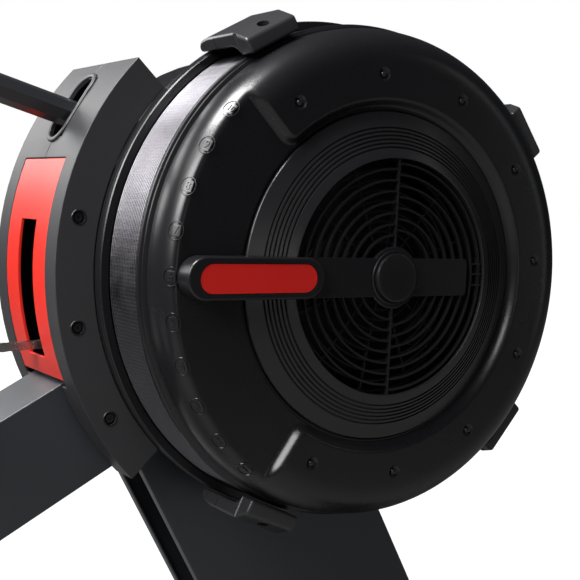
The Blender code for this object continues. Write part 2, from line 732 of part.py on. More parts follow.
def handle_grip(side):
    name = "handle_grip_right" if side > 0 else "handle_grip_left"
    knee = HANDLE_AT + RIGHT * side * 0.085
    bore, skin = 0.0098, 0.0160
    profile = [(bore, 0.010), (bore, 0.165), (0.0140, 0.165), (skin, 0.160), (skin, 0.014), (0.0140, 0.010)]
    return turned(name, profile, rubber, knee, grip_axis(side), turns=24)


def handle_hook():
    """A two-pronged rest on the beam; it is open towards the rower, so that the handle pulls off."""
    base_z = beam_top(HANDLE_X - 0.016)
    top = HANDLE_AT.z - AXLE_Z + 0.012
    outer, inner = 0.034, 0.026
    side = [(-outer, base_z - 0.02), (outer, base_z - 0.02), (outer, top), (inner, top), (inner, base_z + 0.03)]
    outline = side + [(-inner, base_z + 0.03), (-inner, top), (-outer, top)]
    place = axes(Vector((HANDLE_AT.x, 0, AXLE_Z)), Y, Z)
    hook = plate("handle_hook", [outline], -0.016, 0.020, place, black_plastic)
    notch = 0.0099
    low = HANDLE_AT - Vector((0.030, 0.05, notch))
    high = HANDLE_AT + Vector((notch, 0.05, 0.040))
    boolean(hook, box("hook_notch", low, high, helper=True))
    start, end = 0.30, 0.58
    under = [(start, beam_top(-start) + 0.0004), (end, beam_top(-end) + 0.0004), (end, -0.40), (start, -0.40)]
    boolean(hook, side_plate("hook_base_way", [under], -0.06, 0.06, helper=True))
    return hook


# Seat ----------------------------------------------------------------------------------------------

SEAT = Vector((AXLE_X + SEAT_X, 0, RAIL_TOP))
ROLLER_X, ROLLER_Y = 0.072, 0.029
ROLLER_Z = RAIL_TOP + ROLLER_R + ROLLER_GAP


def seat_carriage():
    """A pressed saddle over the rail's flange, with the rollers' two axles."""
    cheek, outer = 0.0515, 0.0555
    lip, top = RAIL_TOP - 0.034, RAIL_TOP + 0.048
    right = [(outer, lip - 0.004), (outer, top), (-outer, top), (-outer, lip - 0.004), (-0.043, lip - 0.004), (-0.043, lip)]
    left = [(-cheek, lip), (-cheek, top - 0.004), (cheek, top - 0.004), (cheek, lip), (0.043, lip), (0.043, lip - 0.004)]
    place = axes(Vector((SEAT.x, 0, 0)), Y, Z)
    saddle = plate("seat_carriage", [(right + left)[::-1]], -0.105, 0.105, place, bright_steel)
    for end in (-1, 1):
        centre = Vector((SEAT.x + end * ROLLER_X, 0, ROLLER_Z))
        pin = rod("roller_pin", centre - Y * 0.053, centre + Y * 0.053, 0.0040, sides=16)
        boolean(saddle, pin, "UNION")
    return saddle


def seat_roller(name, end, side):
    centre = Vector((SEAT.x + end * ROLLER_X, 0, ROLLER_Z)) + RIGHT * side * ROLLER_Y
    half = 0.007
    profile = [(0.0044, half), (ROLLER_R, half), (ROLLER_R, -half), (0.0044, -half)]
    return turned(name, profile, rubber, centre, Y, turns=28)


def seat_pad():
    low = SEAT + Vector((-0.115, -0.155, 0.0484))
    high = SEAT + Vector((0.125, 0.155, 0.100))
    pad = box("seat_pad", low, high, seat_skin)
    round_edges(pad, 0.018, 3)
    return pad


# Monitor -------------------------------------------------------------------------------------------

SCREEN_OUT = Vector((-math.cos(MONITOR_TILT), 0, math.sin(MONITOR_TILT)))
SCREEN_UP = Vector((math.sin(MONITOR_TILT), 0, math.cos(MONITOR_TILT)))
MONITOR = axes(at(*MONITOR_PIVOT) + SCREEN_OUT * 0.018 + SCREEN_UP * 0.045, SCREEN_UP.cross(SCREEN_OUT), SCREEN_UP)
BUTTON_X = {"button_left": -0.045, "button_middle": 0.0, "button_right": 0.045}
BUTTON_Y, BUTTON_SIZE = -0.062, (0.014, 0.007)


def monitor_arm():
    """A tube that leaves the guard's slot at twenty degrees and turns up to the monitor."""
    slope = math.tan(math.radians(20))
    start = at(ARM_PIVOT[0] + 0.008, ARM_PIVOT[1] - 0.008 * slope)
    knee = at(-0.500, ARM_PIVOT[1] + (-0.500 - ARM_PIVOT[0]) * -slope)
    end = at(MONITOR_PIVOT[0] + 0.009, MONITOR_PIVOT[1] - 0.026)
    bend = [knee.lerp(end, t) + Vector((-0.020, 0, -0.020)) * (4 * t * (1 - t)) for t in (0.25, 0.5, 0.75)]
    return tube("monitor_arm", [start, knee, *bend, end], 0.0135, frame_paint)


def monitor_housing():
    """The display's case, with a pocket for each button and the lug that tilts on the arm."""
    case = box("monitor_housing", (-0.105, -0.085, -0.018), (0.105, 0.085, 0.018), black_plastic, matrix=MONITOR)
    lug = box("monitor_lug", (-0.012, -0.052, -0.034), (0.012, -0.020, -0.015), matrix=MONITOR)
    boolean(case, lug, "UNION")
    for x in BUTTON_X.values():
        half_x, half_y = BUTTON_SIZE[0] + 0.0006, BUTTON_SIZE[1] + 0.0006
        low, high = (x - half_x, BUTTON_Y - half_y, 0.011), (x + half_x, BUTTON_Y + half_y, 0.03)
        boolean(case, box("button_way", low, high, matrix=MONITOR, helper=True))
    return case


def monitor_screen():
    return box("monitor_screen", (-0.088, -0.040, 0.0183), (0.088, 0.072, 0.0203), screen_glass, matrix=MONITOR)


def monitor_button(name, x):
    half_x, half_y = BUTTON_SIZE
    low, high = (x - half_x, BUTTON_Y - half_y, 0.0135), (x + half_x, BUTTON_Y + half_y, 0.0215)
    return box(name, low, high, red_plastic, matrix=MONITOR)


# Build ---------------------------------------------------------------------------------------------

front_leg()
main_beam()
front_foot()
rail()
rail_stop("rail_stop_front", -0.790, -0.760)
rail_stop("rail_stop_rear", RAIL_REAR, RAIL_REAR + 0.030)
rear_leg()
foot_tube("rear_foot", REAR_FOOT_X, REAR_FOOT_DEPTH, REAR_FOOT_HALF)
joint_bracket()
barrel()
side_cover()
chain_panel()
cage_back()
mesh_band()
front_cover()
vent_grille()
for clip_name, clip_angle in CLIP_ANGLES.items():
    cover_clip(clip_name, clip_angle)
for hand, hand_name in ((1, "right"), (-1, "left")):
    axle_plate(hand)
    guard_half(hand)
    foot_plate(hand)
    foot_strap(hand)
    foot_shoe("front_shoe_" + hand_name, FRONT_FOOT_X, FRONT_FOOT_DEPTH, -hand, FOOT_HALF)
    foot_shoe("rear_shoe_" + hand_name, REAR_FOOT_X, REAR_FOOT_DEPTH, -hand, REAR_FOOT_HALF)
    pivot("heel_slide_" + hand_name, at(TOE.x, TOE.z) + RIGHT * hand * FOOT_Y, heel_cup(hand))
    transport_wheel(hand)
handle_hook()

axle = rod("axle", at(0, 0) - RIGHT * 0.060, at(0, 0) + RIGHT * 0.172, 0.0100, bright_steel)
pivot("drum_axis", at(0, 0), axle, fan_rotor())
pivot("sprocket_axis", at(0, 0), drive_sprocket())
pivot("damper_axis", at(0, 0), damper_disc(), damper_lever())
pivot("handle_start", HANDLE_AT, handle_bar(), handle_grip(1), handle_grip(-1), chain_lead())
pivot("chain_mid_start", HANDLE_AT, chain_mid())
pivot("chain_tail_start", HANDLE_AT, chain_tail())
pivot("arm_axis", at(*ARM_PIVOT), monitor_arm())
pivot("monitor_axis", at(*MONITOR_PIVOT), monitor_housing(), monitor_screen())
for button_name, button_x in BUTTON_X.items():
    monitor_button(button_name, button_x)
pivot("seat_start", SEAT, seat_pad(), seat_carriage())
for roller_name, roller_end, roller_side in (
    ("roller_front_right", 1, 1),
    ("roller_front_left", 1, -1),
    ("roller_rear_right", -1, 1),
    ("roller_rear_left", -1, -1),
):
    seat_roller(roller_name, roller_end, roller_side)
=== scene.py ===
import json
import math

import bpy
import numpy as np
from mathutils import Matrix, Vector

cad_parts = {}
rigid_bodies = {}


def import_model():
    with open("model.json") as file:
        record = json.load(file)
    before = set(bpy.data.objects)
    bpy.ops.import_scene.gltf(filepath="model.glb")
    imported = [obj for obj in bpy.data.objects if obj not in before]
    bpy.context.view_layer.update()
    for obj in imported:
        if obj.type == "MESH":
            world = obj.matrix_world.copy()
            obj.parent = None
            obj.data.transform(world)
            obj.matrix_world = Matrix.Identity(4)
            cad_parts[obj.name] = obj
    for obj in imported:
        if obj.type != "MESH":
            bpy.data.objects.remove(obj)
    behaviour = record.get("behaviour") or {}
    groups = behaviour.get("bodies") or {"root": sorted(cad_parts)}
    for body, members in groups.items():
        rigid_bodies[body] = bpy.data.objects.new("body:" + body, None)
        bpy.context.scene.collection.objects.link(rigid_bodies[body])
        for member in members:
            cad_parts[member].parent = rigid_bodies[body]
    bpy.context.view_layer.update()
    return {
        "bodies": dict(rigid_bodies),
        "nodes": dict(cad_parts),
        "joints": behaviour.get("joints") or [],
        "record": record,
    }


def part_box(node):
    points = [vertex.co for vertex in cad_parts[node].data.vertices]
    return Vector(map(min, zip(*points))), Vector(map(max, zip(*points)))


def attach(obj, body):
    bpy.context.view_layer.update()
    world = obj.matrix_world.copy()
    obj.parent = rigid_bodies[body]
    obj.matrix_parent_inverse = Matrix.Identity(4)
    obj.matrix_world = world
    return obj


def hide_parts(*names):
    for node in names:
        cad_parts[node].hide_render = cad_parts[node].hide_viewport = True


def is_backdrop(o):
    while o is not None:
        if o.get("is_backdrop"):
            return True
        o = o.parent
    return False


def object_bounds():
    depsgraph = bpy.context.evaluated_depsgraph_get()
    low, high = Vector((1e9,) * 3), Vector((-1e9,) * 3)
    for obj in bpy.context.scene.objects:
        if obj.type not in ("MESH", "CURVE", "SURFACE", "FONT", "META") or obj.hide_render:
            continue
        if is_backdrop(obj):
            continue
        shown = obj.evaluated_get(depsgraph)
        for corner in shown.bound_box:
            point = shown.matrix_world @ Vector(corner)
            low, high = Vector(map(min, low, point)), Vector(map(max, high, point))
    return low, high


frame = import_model()
bpy.ops.object.select_all(action="DESELECT")

# Camera and studio. The camera stands at the rower's right, close to the drum, and looks slightly down.
# Softboxes above and behind the seat draw the highlights on the shoulder and the guard, two narrow
# strips lift the disc and the rims, and the rest light the frame. The floor is pale and fades to white.
axle_low, axle_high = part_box("axle")
axle = Vector(((axle_low.x + axle_high.x) / 2, 0, (axle_low.z + axle_high.z) / 2))
yaw, pitch, roll = math.radians(32.78), math.radians(-7.15), math.radians(-1.95)
looking = Vector((math.sin(yaw) * math.cos(pitch), math.cos(yaw) * math.cos(pitch), math.sin(pitch)))
level = Vector((math.cos(yaw), -math.sin(yaw), 0))
across = level * math.cos(roll) + level.cross(looking) * math.sin(roll)
camera_data = bpy.data.cameras.new("camera")
camera_data.sensor_width = 36
camera_data.lens = 71.18
camera = bpy.data.objects.new("camera", camera_data)
bpy.context.scene.collection.objects.link(camera)
camera.matrix_world = Matrix((across, across.cross(looking), -looking)).transposed().to_4x4()
camera.location = axle + Vector((-0.6663, -1.0569, 0.1267))
bpy.context.scene.camera = camera
bpy.context.scene.view_settings.view_transform = "Standard"


def add_node(tree, kind, inputs=None, **settings):
    """A node with its settings, each input linked or given a value. Shader nodes go by their short names."""
    made = tree.nodes.new(kind if kind.startswith("Node") else "ShaderNode" + kind)
    for key, value in settings.items():
        setattr(made, key, value)
    for key, value in (inputs or {}).items():
        if isinstance(value, bpy.types.NodeSocket):
            tree.links.new(value, made.inputs[key])
        else:
            made.inputs[key].default_value = value
    return made


def spread(tree, value, wanted, given=(0, 1)):
    """Maps a value from the given range onto the wanted one."""
    limits = {"From Min": given[0], "From Max": given[1], "To Min": wanted[0], "To Max": wanted[1]}
    return add_node(tree, "MapRange", {"Value": value, **limits})


studio = bpy.data.worlds.new("studio")
studio.use_nodes = True
sky = studio.node_tree
sky.nodes.clear()
ambient = add_node(sky, "Background", {"Color": (0.80, 0.86, 0.95, 1), "Strength": 0.035})
backdrop = add_node(sky, "Background", {"Color": (1, 1, 1, 1), "Strength": 1.0})
seen = add_node(sky, "LightPath")
blend = add_node(
    sky, "MixShader", {0: seen.outputs["Is Camera Ray"], 1: ambient.outputs[0], 2: backdrop.outputs[0]}
)
add_node(sky, "OutputWorld", {"Surface": blend.outputs[0]})
bpy.context.scene.world = studio


def softbox(name, place, target, size, power, colour=(1, 1, 1)):
    light = bpy.data.lights.new(name, "AREA")
    light.shape = "RECTANGLE"
    light.size, light.size_y = size
    light.energy = power
    light.color = colour
    holder = bpy.data.objects.new(name, light)
    bpy.context.scene.collection.objects.link(holder)
    holder.location = place
    holder.rotation_euler = (Vector(target) - Vector(place)).to_track_quat("-Z", "Y").to_euler()
    return holder


softbox("rear_softbox", (-0.75, -0.75, 1.75), axle, (1.1, 0.8), 36)
softbox("top_softbox", (0.15, -0.10, 2.20), axle, (0.9, 0.5), 62)
softbox("front_softbox", (2.6, -1.3, 0.8), axle, (0.20, 1.4), 0.8)
softbox("side_strip", (0.70, -2.30, 0.55), axle, (0.14, 0.7), 1.0)
softbox("seat_softbox", (-2.4, -1.0, 2.0), (-0.3, 0, 0.4), (1.2, 1.2), 26)
softbox("rail_softbox", (-0.7, -0.1, 1.9), (-0.5, 0, 0.3), (1.6, 0.8), 16)
softbox("far_softbox", (-0.6, 2.8, 2.1), (0, 0, 0.4), (2.4, 1.4), 60)

bpy.ops.mesh.primitive_plane_add(size=14, location=(0, 0, -0.0005))
floor = bpy.context.object
floor.name = "floor"
floor_finish = bpy.data.materials.new("pale_floor")
floor_finish.use_nodes = True
floor_tree = floor_finish.node_tree
floor_shader = floor_tree.nodes["Principled BSDF"]
floor_shader.inputs["Base Color"].default_value = (0.20, 0.20, 0.20, 1)
floor_shader.inputs["Roughness"].default_value = 0.85
floor_shader.inputs["Specular IOR Level"].default_value = 0.1
floor_shader.inputs["Emission Color"].default_value = (1, 1, 1, 1)
floor_place = add_node(floor_tree, "TexCoord").outputs["Object"]
floor_reach = add_node(floor_tree, "VectorMath", {0: floor_place}, operation="LENGTH")
floor_fade = spread(floor_tree, floor_reach.outputs["Value"], (0.82, 1.05), (1.2, 2.2))
floor_seen = add_node(floor_tree, "LightPath")
floor_glow = spread(floor_tree, floor_seen.outputs["Is Camera Ray"], (0.0, floor_fade.outputs[0]))
floor_tree.links.new(floor_glow.outputs[0], floor_shader.inputs["Emission Strength"])
floor.data.materials.append(floor_finish)
floor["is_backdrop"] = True


# Front cover. The real one is a deep dish of injection-moulded satin black plastic with a rounded
# shoulder, a beaded lip where it meets the wire mesh, a shallow bay that the lever sweeps, and nine
# dimples with a polished dome in each.


DUST_COLOUR = (0.16, 0.155, 0.15, 1)


def shared_surface():
    """Moulded plastic or paint: a fine grain, patches of other gloss, and a little pale dust in them."""
    group = bpy.data.node_groups.new("moulded_surface", "ShaderNodeTree")
    group.interface.new_socket("Colour", in_out="INPUT", socket_type="NodeSocketColor")
    for name in ("Roughness", "Grain Scale", "Grain Depth", "Unevenness"):
        group.interface.new_socket(name, in_out="INPUT", socket_type="NodeSocketFloat")
    for name, kind in (
        ("Colour", "NodeSocketColor"), ("Roughness", "NodeSocketFloat"), ("Normal", "NodeSocketVector")
    ):
        group.interface.new_socket(name, in_out="OUTPUT", socket_type=kind)
    given = add_node(group, "NodeGroupInput")
    place = add_node(group, "TexCoord").outputs["Object"]
    grain = add_node(
        group, "TexNoise", {"Vector": place, "Scale": given.outputs["Grain Scale"], "Detail": 3}
    )
    raised = add_node(
        group,
        "Bump",
        {"Strength": 1.0, "Distance": given.outputs["Grain Depth"], "Height": grain.outputs["Fac"]},
    )
    patches = add_node(group, "TexNoise", {"Vector": place, "Scale": 14, "Detail": 5, "Roughness": 0.6})
    centred = add_node(group, "Math", {0: patches.outputs["Fac"], 1: 0.5}, operation="SUBTRACT")
    share = add_node(
        group, "Math", {0: centred.outputs[0], 1: given.outputs["Unevenness"]}, operation="MULTIPLY"
    )
    gloss = add_node(
        group, "Math", {0: share.outputs[0], 1: given.outputs["Roughness"]}, operation="ADD", use_clamp=True
    )
    specks = add_node(group, "TexNoise", {"Vector": place, "Scale": 420, "Detail": 2})
    dust = spread(group, specks.outputs["Fac"], (0, 0.035), (0.60, 0.85))
    # The colour inputs of a Mix node share their names with the others, so they are given by place.
    tint_inputs = {0: dust.outputs[0], 6: given.outputs["Colour"], 7: DUST_COLOUR}
    tint = add_node(group, "Mix", tint_inputs, data_type="RGBA")
    results = {"Colour": tint.outputs[2], "Roughness": gloss.outputs[0], "Normal": raised.outputs[0]}
    add_node(group, "NodeGroupOutput", results)
    return group


moulded_surface = shared_surface()


def new_finish(name):
    """A new material, its node tree, and the piece's own coordinates for patterns."""
    made = bpy.data.materials.new(name)
    made.use_nodes = True
    tree = made.node_tree
    return made, tree, add_node(tree, "TexCoord").outputs["Object"]


def onto_shader(tree, colour, roughness, normal):
    """Links the three patterns to the Principled shader and gives the shader back."""
    shader = tree.nodes["Principled BSDF"]
    tree.links.new(colour, shader.inputs["Base Color"])
    tree.links.new(roughness, shader.inputs["Roughness"])
    tree.links.new(normal, shader.inputs["Normal"])
    return shader


def moulded(name, colour, roughness, grain=1500, depth=0.00004, unevenness=0.10, metallic=0.0):
    """A material of the shared surface with its own colour, gloss and grain."""
    made = bpy.data.materials.new(name)
    made.use_nodes = True
    tree = made.node_tree
    surface = add_node(tree, "Group", node_tree=moulded_surface)
    values = {"Colour": (*colour, 1), "Roughness": roughness, "Grain Scale": grain, "Grain Depth": depth}
    values["Unevenness"] = unevenness
    for key, value in values.items():
        surface.inputs[key].default_value = value
    shader = onto_shader(tree, *(surface.outputs[key] for key in ("Colour", "Roughness", "Normal")))
    shader.inputs["Metallic"].default_value = metallic
    return made


def start():
    if bpy.context.mode != "OBJECT":
        bpy.ops.object.mode_set(mode="OBJECT")
    bpy.ops.object.select_all(action="DESELECT")


def only(piece):
    """Selects one piece and makes it active."""
    start()
    piece.select_set(True)
    bpy.context.view_layer.objects.active = piece


def edit_all():
    """Goes into edit mode on the active piece with everything selected."""
    bpy.ops.object.mode_set(mode="EDIT")
    bpy.ops.mesh.select_mode(type="VERT")
    bpy.ops.mesh.select_all(action="SELECT")


def face_outwards():
    """Turns all faces of the piece in edit mode outwards and goes back to object mode."""
    bpy.ops.mesh.select_all(action="SELECT")
    bpy.ops.mesh.normals_make_consistent(inside=False)
    bpy.ops.object.mode_set(mode="OBJECT")


def ring_stack(rings, sides=192, closed=True, angles=None):
    """A circle extruded from ring to ring of (radius, height), then closed onto its first ring or capped."""
    start()
    radius, height = rings[0]
    bpy.ops.mesh.primitive_circle_add(vertices=sides, radius=radius)
    piece = bpy.context.object
    if angles is not None:
        for vertex, turn in zip(piece.data.vertices, angles):
            vertex.co = (radius * math.cos(turn), radius * math.sin(turn), 0)
    edit_all()
    bpy.ops.transform.translate(value=(0, 0, height))
    for next_radius, next_height in rings[1:]:
        bpy.ops.mesh.extrude_region_move(TRANSFORM_OT_translate={"value": (0, 0, next_height - height)})
        share = next_radius / radius
        bpy.ops.transform.resize(value=(share, share, 1), center_override=(0, 0, next_height))
        radius, height = next_radius, next_height
    bpy.ops.mesh.select_all(action="DESELECT")
    bpy.ops.mesh.select_mode(type="EDGE")
    bpy.ops.mesh.select_non_manifold()
    if closed:
        bpy.ops.mesh.bridge_edge_loops()
    else:
        bpy.ops.mesh.fill_holes(sides=0)
    face_outwards()
    return piece


def apply_place(piece):
    only(piece)
    bpy.ops.object.transform_apply(location=True, rotation=True, scale=True)


def laid_across(piece, place):
    """Turns a piece modelled about +Z so that +Z points to the rower's right, and moves it to its place."""
    piece.rotation_euler = (math.pi / 2, 0, 0)
    piece.location = place
    apply_place(piece)
    return piece


def on_drum(piece):
    """Lays a piece modelled about +Z on the drum's axis."""
    apply_place(piece)
    return laid_across(piece, axle)


def smoothed(piece, angle=32):
    only(piece)
    bpy.ops.object.shade_smooth_by_angle(angle=math.radians(angle))
    apply_modifier(piece, "WEIGHTED_NORMAL", keep_sharp=True)
    return piece


def apply_modifier(piece, kind, **settings):
    only(piece)
    step = piece.modifiers.new(kind.title(), kind)
    for key, value in settings.items():
        setattr(step, key, value)
    bpy.ops.object.modifier_apply(modifier=step.name)
    return piece


def cut(piece, cutter, operation="DIFFERENCE"):
    apply_modifier(piece, "BOOLEAN", operation=operation, solver="EXACT", object=cutter)
    bpy.data.objects.remove(cutter)
    return piece


def joined(pieces):
    start()
    for piece in pieces:
        piece.select_set(True)
    bpy.context.view_layer.objects.active = pieces[0]
    bpy.ops.object.join()
    return bpy.context.object


def install(piece, name, body, material, slot, *nodes):
    """Names a finished piece, gives it its finish and lets it ride on a body in place of CAD nodes."""
    piece.name = piece.data.name = name
    piece.data.materials.clear()
    piece.data.materials.append(material)
    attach(piece, body)
    if nodes:
        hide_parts(*nodes)
    return piece


def polar(degrees, radius, height=0.0):
    turn = math.radians(degrees)
    return Vector((radius * math.cos(turn), radius * math.sin(turn), height))


PLATEAU, SHOULDER_R, CROWN = 0.198, 0.040, 0.200
SHOULDER_OUT = 0.0355
BAY_FLOOR, BAY_EDGE = 0.1897, 49.7


def shoulder_point(turn, up=0.0):
    """(radius, height) on the shoulder, whose section is a little squarer than an ellipse."""
    across = math.sin(turn) ** 0.83
    raised = max(math.cos(turn), 0.0) ** 0.83
    lean_out, lean_up = math.sin(turn) * up, math.cos(turn) * up
    return CROWN + SHOULDER_OUT * across + lean_out, PLATEAU - SHOULDER_R * (1 - raised) + lean_up


def cover_angles(count=520):
    """Angles of the cover's radial lines, closer together where the bay's two walls stand."""
    density = [0, 70, 160, 260, 350, count]
    spots = np.interp(
        np.arange(count), density, np.radians([0, 180 - 61.7, 180 - 47.7, 180 + 47.7, 180 + 61.7, 360])
    )
    return spots


def cover_mesh():
    wall = [(0.1602 + 0.0012 * i, PLATEAU) for i in range(11)]
    flat = [(0.1745 + 0.0025 * i, PLATEAU) for i in range(10)]
    shoulder = [shoulder_point(math.radians(90 * (i / 18) ** 1.2)) for i in range(19)]
    lip = [
        (0.2350, 0.1572), (0.2340, 0.1566), (0.2340, 0.1556), (0.2352, 0.1550), (0.2374, 0.1546),
        (0.2382, 0.1539),
    ]
    lip += [(0.2383, 0.1524), (0.2374, 0.1518), (0.2374, 0.1510), (0.2386, 0.1505)]
    bead = [(0.2398, 0.1500), (0.2405, 0.1492), (0.2405, 0.1468), (0.2398, 0.1461)]
    under = [
        (0.2345, 0.1460), (0.2330, 0.1560), (0.2270, 0.1720), (0.2150, 0.1815), (0.2000, 0.1858),
        (0.1581, 0.1862),
    ]
    rim = [(0.1575, 0.1866), (0.1575, 0.1886), (0.1580, 0.1890), (0.1594, 0.1890)]
    return ring_stack(rim + wall + flat + shoulder + lip + bead + under, sides=520, angles=cover_angles())


def shape_bay(piece):
    """Presses the disc's seat and the lever's bay into the cover's face, with a sloped wall."""
    count = len(piece.data.vertices)
    spots = np.empty(count * 3)
    piece.data.vertices.foreach_get("co", spots)
    spots = spots.reshape(-1, 3)
    radius = np.hypot(spots[:, 0], spots[:, 1])
    turn = np.degrees(np.abs(np.arctan2(spots[:, 1], -spots[:, 0])))
    height = spots[:, 2]
    face = (height > BAY_FLOOR - 0.004) & (radius > 0.1600)
    beyond_line = radius * np.sin(np.radians(np.clip(turn - BAY_EDGE, -80, 80)))
    beyond_seat = radius - 0.1602
    corner = 0.014
    rise = corner - np.hypot(np.maximum(corner - beyond_line, 0), np.maximum(corner - beyond_seat, 0))
    share = np.clip(rise / 0.0085, 0, 1)
    share = share - 0.06 * np.sin(2 * np.pi * share)
    soft = 0.0022
    gap = np.maximum(soft - np.abs(height - BAY_FLOOR), 0)
    sunk = np.minimum(height, BAY_FLOOR) - gap**2 / (4 * soft)
    spots[:, 2] = np.where(face, sunk + (height - sunk) * share, height)
    piece.data.vertices.foreach_set("co", spots.ravel())
    piece.data.update()


cover = cover_mesh()
shape_bay(cover)
DIMPLE_CIRCLE = 0.1905
DIMPLE_TURNS = (0, 30, -30, 60, -60, 90, -90, 120, -120)


def balls(radius, height, segments, rings):
    """A ball at each dimple's place."""
    made = []
    for turn in DIMPLE_TURNS:
        start()
        place = polar(turn, DIMPLE_CIRCLE, height)
        bpy.ops.mesh.primitive_uv_sphere_add(
            segments=segments, ring_count=rings, radius=radius, location=place
        )
        made.append(bpy.context.object)
    return joined(made)


cut(cover, balls(0.0094, PLATEAU + 0.0068, 28, 20))
dome_piece = balls(0.0033, PLATEAU - 0.0022, 24, 14)
bpy.ops.object.mode_set(mode="EDIT")
bpy.ops.mesh.select_all(action="SELECT")
bpy.ops.transform.resize(value=(1, 1, 0.8), center_override=(0, 0, PLATEAU - 0.0024))
bpy.ops.object.mode_set(mode="OBJECT")
satin_black = moulded(
    "satin_black_plastic", (0.007, 0.007, 0.008), 0.28, grain=1900, depth=0.00003, unevenness=0.08
)
install(smoothed(on_drum(cover), 34), "cover_shell", "machine", satin_black, "black_plastic", "front_cover")
polished_black = moulded(
    "polished_black_plastic", (0.010, 0.010, 0.011), 0.14, depth=0.00001, unevenness=0.04
)
install(smoothed(on_drum(dome_piece)), "cover_domes", "machine", polished_black, "black_plastic")


# Setting scale. Ten badges are moulded into the cover's shoulder, each a thin raised ring with a small
# raised tab across it that carries a number, and the tabs read upright at the lever.


def badge(number, middle_turn):
    start()
    bpy.ops.mesh.primitive_torus_add(
        major_segments=36,
        minor_segments=6,
        major_radius=0.0082,
        minor_radius=0.00055,
        location=(0, 0.0004, 0.0001),
    )
    ring = bpy.context.object
    bpy.ops.mesh.primitive_cube_add(size=1, location=(0, 0.0004, 0))
    tab = bpy.context.object
    tab.scale = (0.0104, 0.0100, 0.0005)
    apply_place(tab)
    apply_modifier(tab, "BEVEL", width=0.0002, segments=2)
    bpy.ops.object.mode_set(mode="EDIT")
    for step in (-3, -2, -1, 0, 1, 2, 3):
        bpy.ops.mesh.select_all(action="SELECT")
        bpy.ops.mesh.bisect(plane_co=(step * 0.0012, 0, 0), plane_no=(1, 0, 0))
        bpy.ops.mesh.select_all(action="SELECT")
        bpy.ops.mesh.bisect(plane_co=(0, 0.0004 + step * 0.0012, 0), plane_no=(0, 1, 0))
    bpy.ops.object.mode_set(mode="OBJECT")
    start()
    bpy.ops.object.text_add(location=(0, 0, 0))
    digits = bpy.context.object
    digits.data.body = str(number)
    digits.data.size = 0.0108 if number < 10 else 0.0086
    digits.data.extrude = 0.0005
    digits.data.align_x = "CENTER"
    digits.data.align_y = "CENTER"
    bpy.ops.object.convert(target="MESH")
    digits.rotation_euler = (0, 0, -math.pi / 2)
    digits.location = (0, 0.0004, 0.0005)
    apply_place(digits)
    whole = joined([ring, tab, digits])
    apply_place(whole)
    lean = math.radians(46)
    for vertex in whole.data.vertices:
        along, out, up = vertex.co
        radius, height = shoulder_point(lean + out / SHOULDER_R, up)
        vertex.co = polar(middle_turn - math.degrees(along / radius), radius, height)
    return whole


badges = joined([badge(number, 180 - (number - 5.5) * 10) for number in range(1, 11)])
bpy.ops.object.mode_set(mode="EDIT")
face_outwards()
install(smoothed(on_drum(badges)), "setting_scale", "machine", satin_black, "black_plastic")


# Damper disc and vents. A shallow moulded cone with six turned grooves, then a step to thin arched slats
# whose two halves are half a pitch apart. A second fixed grille stands behind it.
LEVER_TURN = 175  # degrees from the front, at setting 6


def cone(radius):
    """Height of the disc's sloped face."""
    return 0.1915 + (0.2062 - 0.1915) * (0.1565 - radius) / (0.1565 - 0.1125)


def damper_rim():
    grooves = []
    for i in range(6):
        inner = 0.1418 - 0.0037 * i
        grooves += [(inner, cone(inner)), (inner - 0.0005, cone(inner) - 0.0015)]
        grooves += [(inner - 0.0014, cone(inner) - 0.0014), (inner - 0.0019, cone(inner - 0.0019))]
    outside = [(0.1563, 0.1878), (0.1563, 0.1908), (0.1558, cone(0.1558)), (0.1425, cone(0.1425))]
    inside = [
        (0.1195, cone(0.1195)), (0.1136, cone(0.1136)), (0.1124, 0.2060), (0.1120, 0.2050), (0.1120, 0.1985)
    ]
    return ring_stack(outside + grooves + inside, sides=256)


def slats(radii, first_turn, sweep, low, high, width):
    """Arched bars: a small upright rectangle for each radius, spun about the drum's axis."""
    start()
    bpy.ops.mesh.primitive_plane_add(size=1, rotation=(math.pi / 2, 0, 0))
    bars = bpy.context.object
    apply_place(bars)
    bpy.ops.object.mode_set(mode="EDIT")
    bpy.ops.mesh.delete(type="VERT")
    bpy.ops.object.mode_set(mode="OBJECT")
    for radius in radii:
        bpy.ops.object.mode_set(mode="EDIT")
        bpy.ops.mesh.select_all(action="DESELECT")
        bpy.ops.mesh.primitive_plane_add(
            size=1, location=(radius, 0, (low + high) / 2), rotation=(math.pi / 2, 0, 0)
        )
        bpy.ops.transform.resize(
            value=(width, 1, high - low), center_override=(radius, 0, (low + high) / 2)
        )
        bpy.ops.transform.rotate(
            value=-math.radians(first_turn), orient_axis="Z", center_override=(0, 0, 0)
        )
        full = abs(sweep - 360) < 1
        steps = max(12, int(radius * 900 * sweep / 360))
        bpy.ops.mesh.spin(steps=steps, angle=-math.radians(sweep), center=(0, 0, 0), axis=(0, 0, 1))
        if full:
            bpy.ops.mesh.select_all(action="SELECT")
            bpy.ops.mesh.remove_doubles(threshold=0.00005)
        bpy.ops.object.mode_set(mode="OBJECT")
    bpy.ops.object.mode_set(mode="EDIT")
    bpy.ops.mesh.select_all(action="SELECT")
    bpy.ops.mesh.remove_doubles(threshold=0.00002)
    bpy.ops.mesh.normals_make_consistent(inside=False)
    bpy.ops.object.mode_set(mode="OBJECT")
    return bars


def straight_bar(turn, inner, outer, width, low, high, offset=0.0, bevel=0.0004):
    """A radial bar, or one parallel to it at an offset."""
    start()
    bpy.ops.mesh.primitive_cube_add(size=1)
    bar = bpy.context.object
    bar.scale = (outer - inner, width, high - low)
    apply_place(bar)
    apply_modifier(bar, "BEVEL", width=bevel, segments=2)
    bar.location = ((inner + outer) / 2, offset, (low + high) / 2)
    apply_place(bar)
    bar.rotation_euler = (0, 0, math.radians(turn))
    apply_place(bar)
    return bar


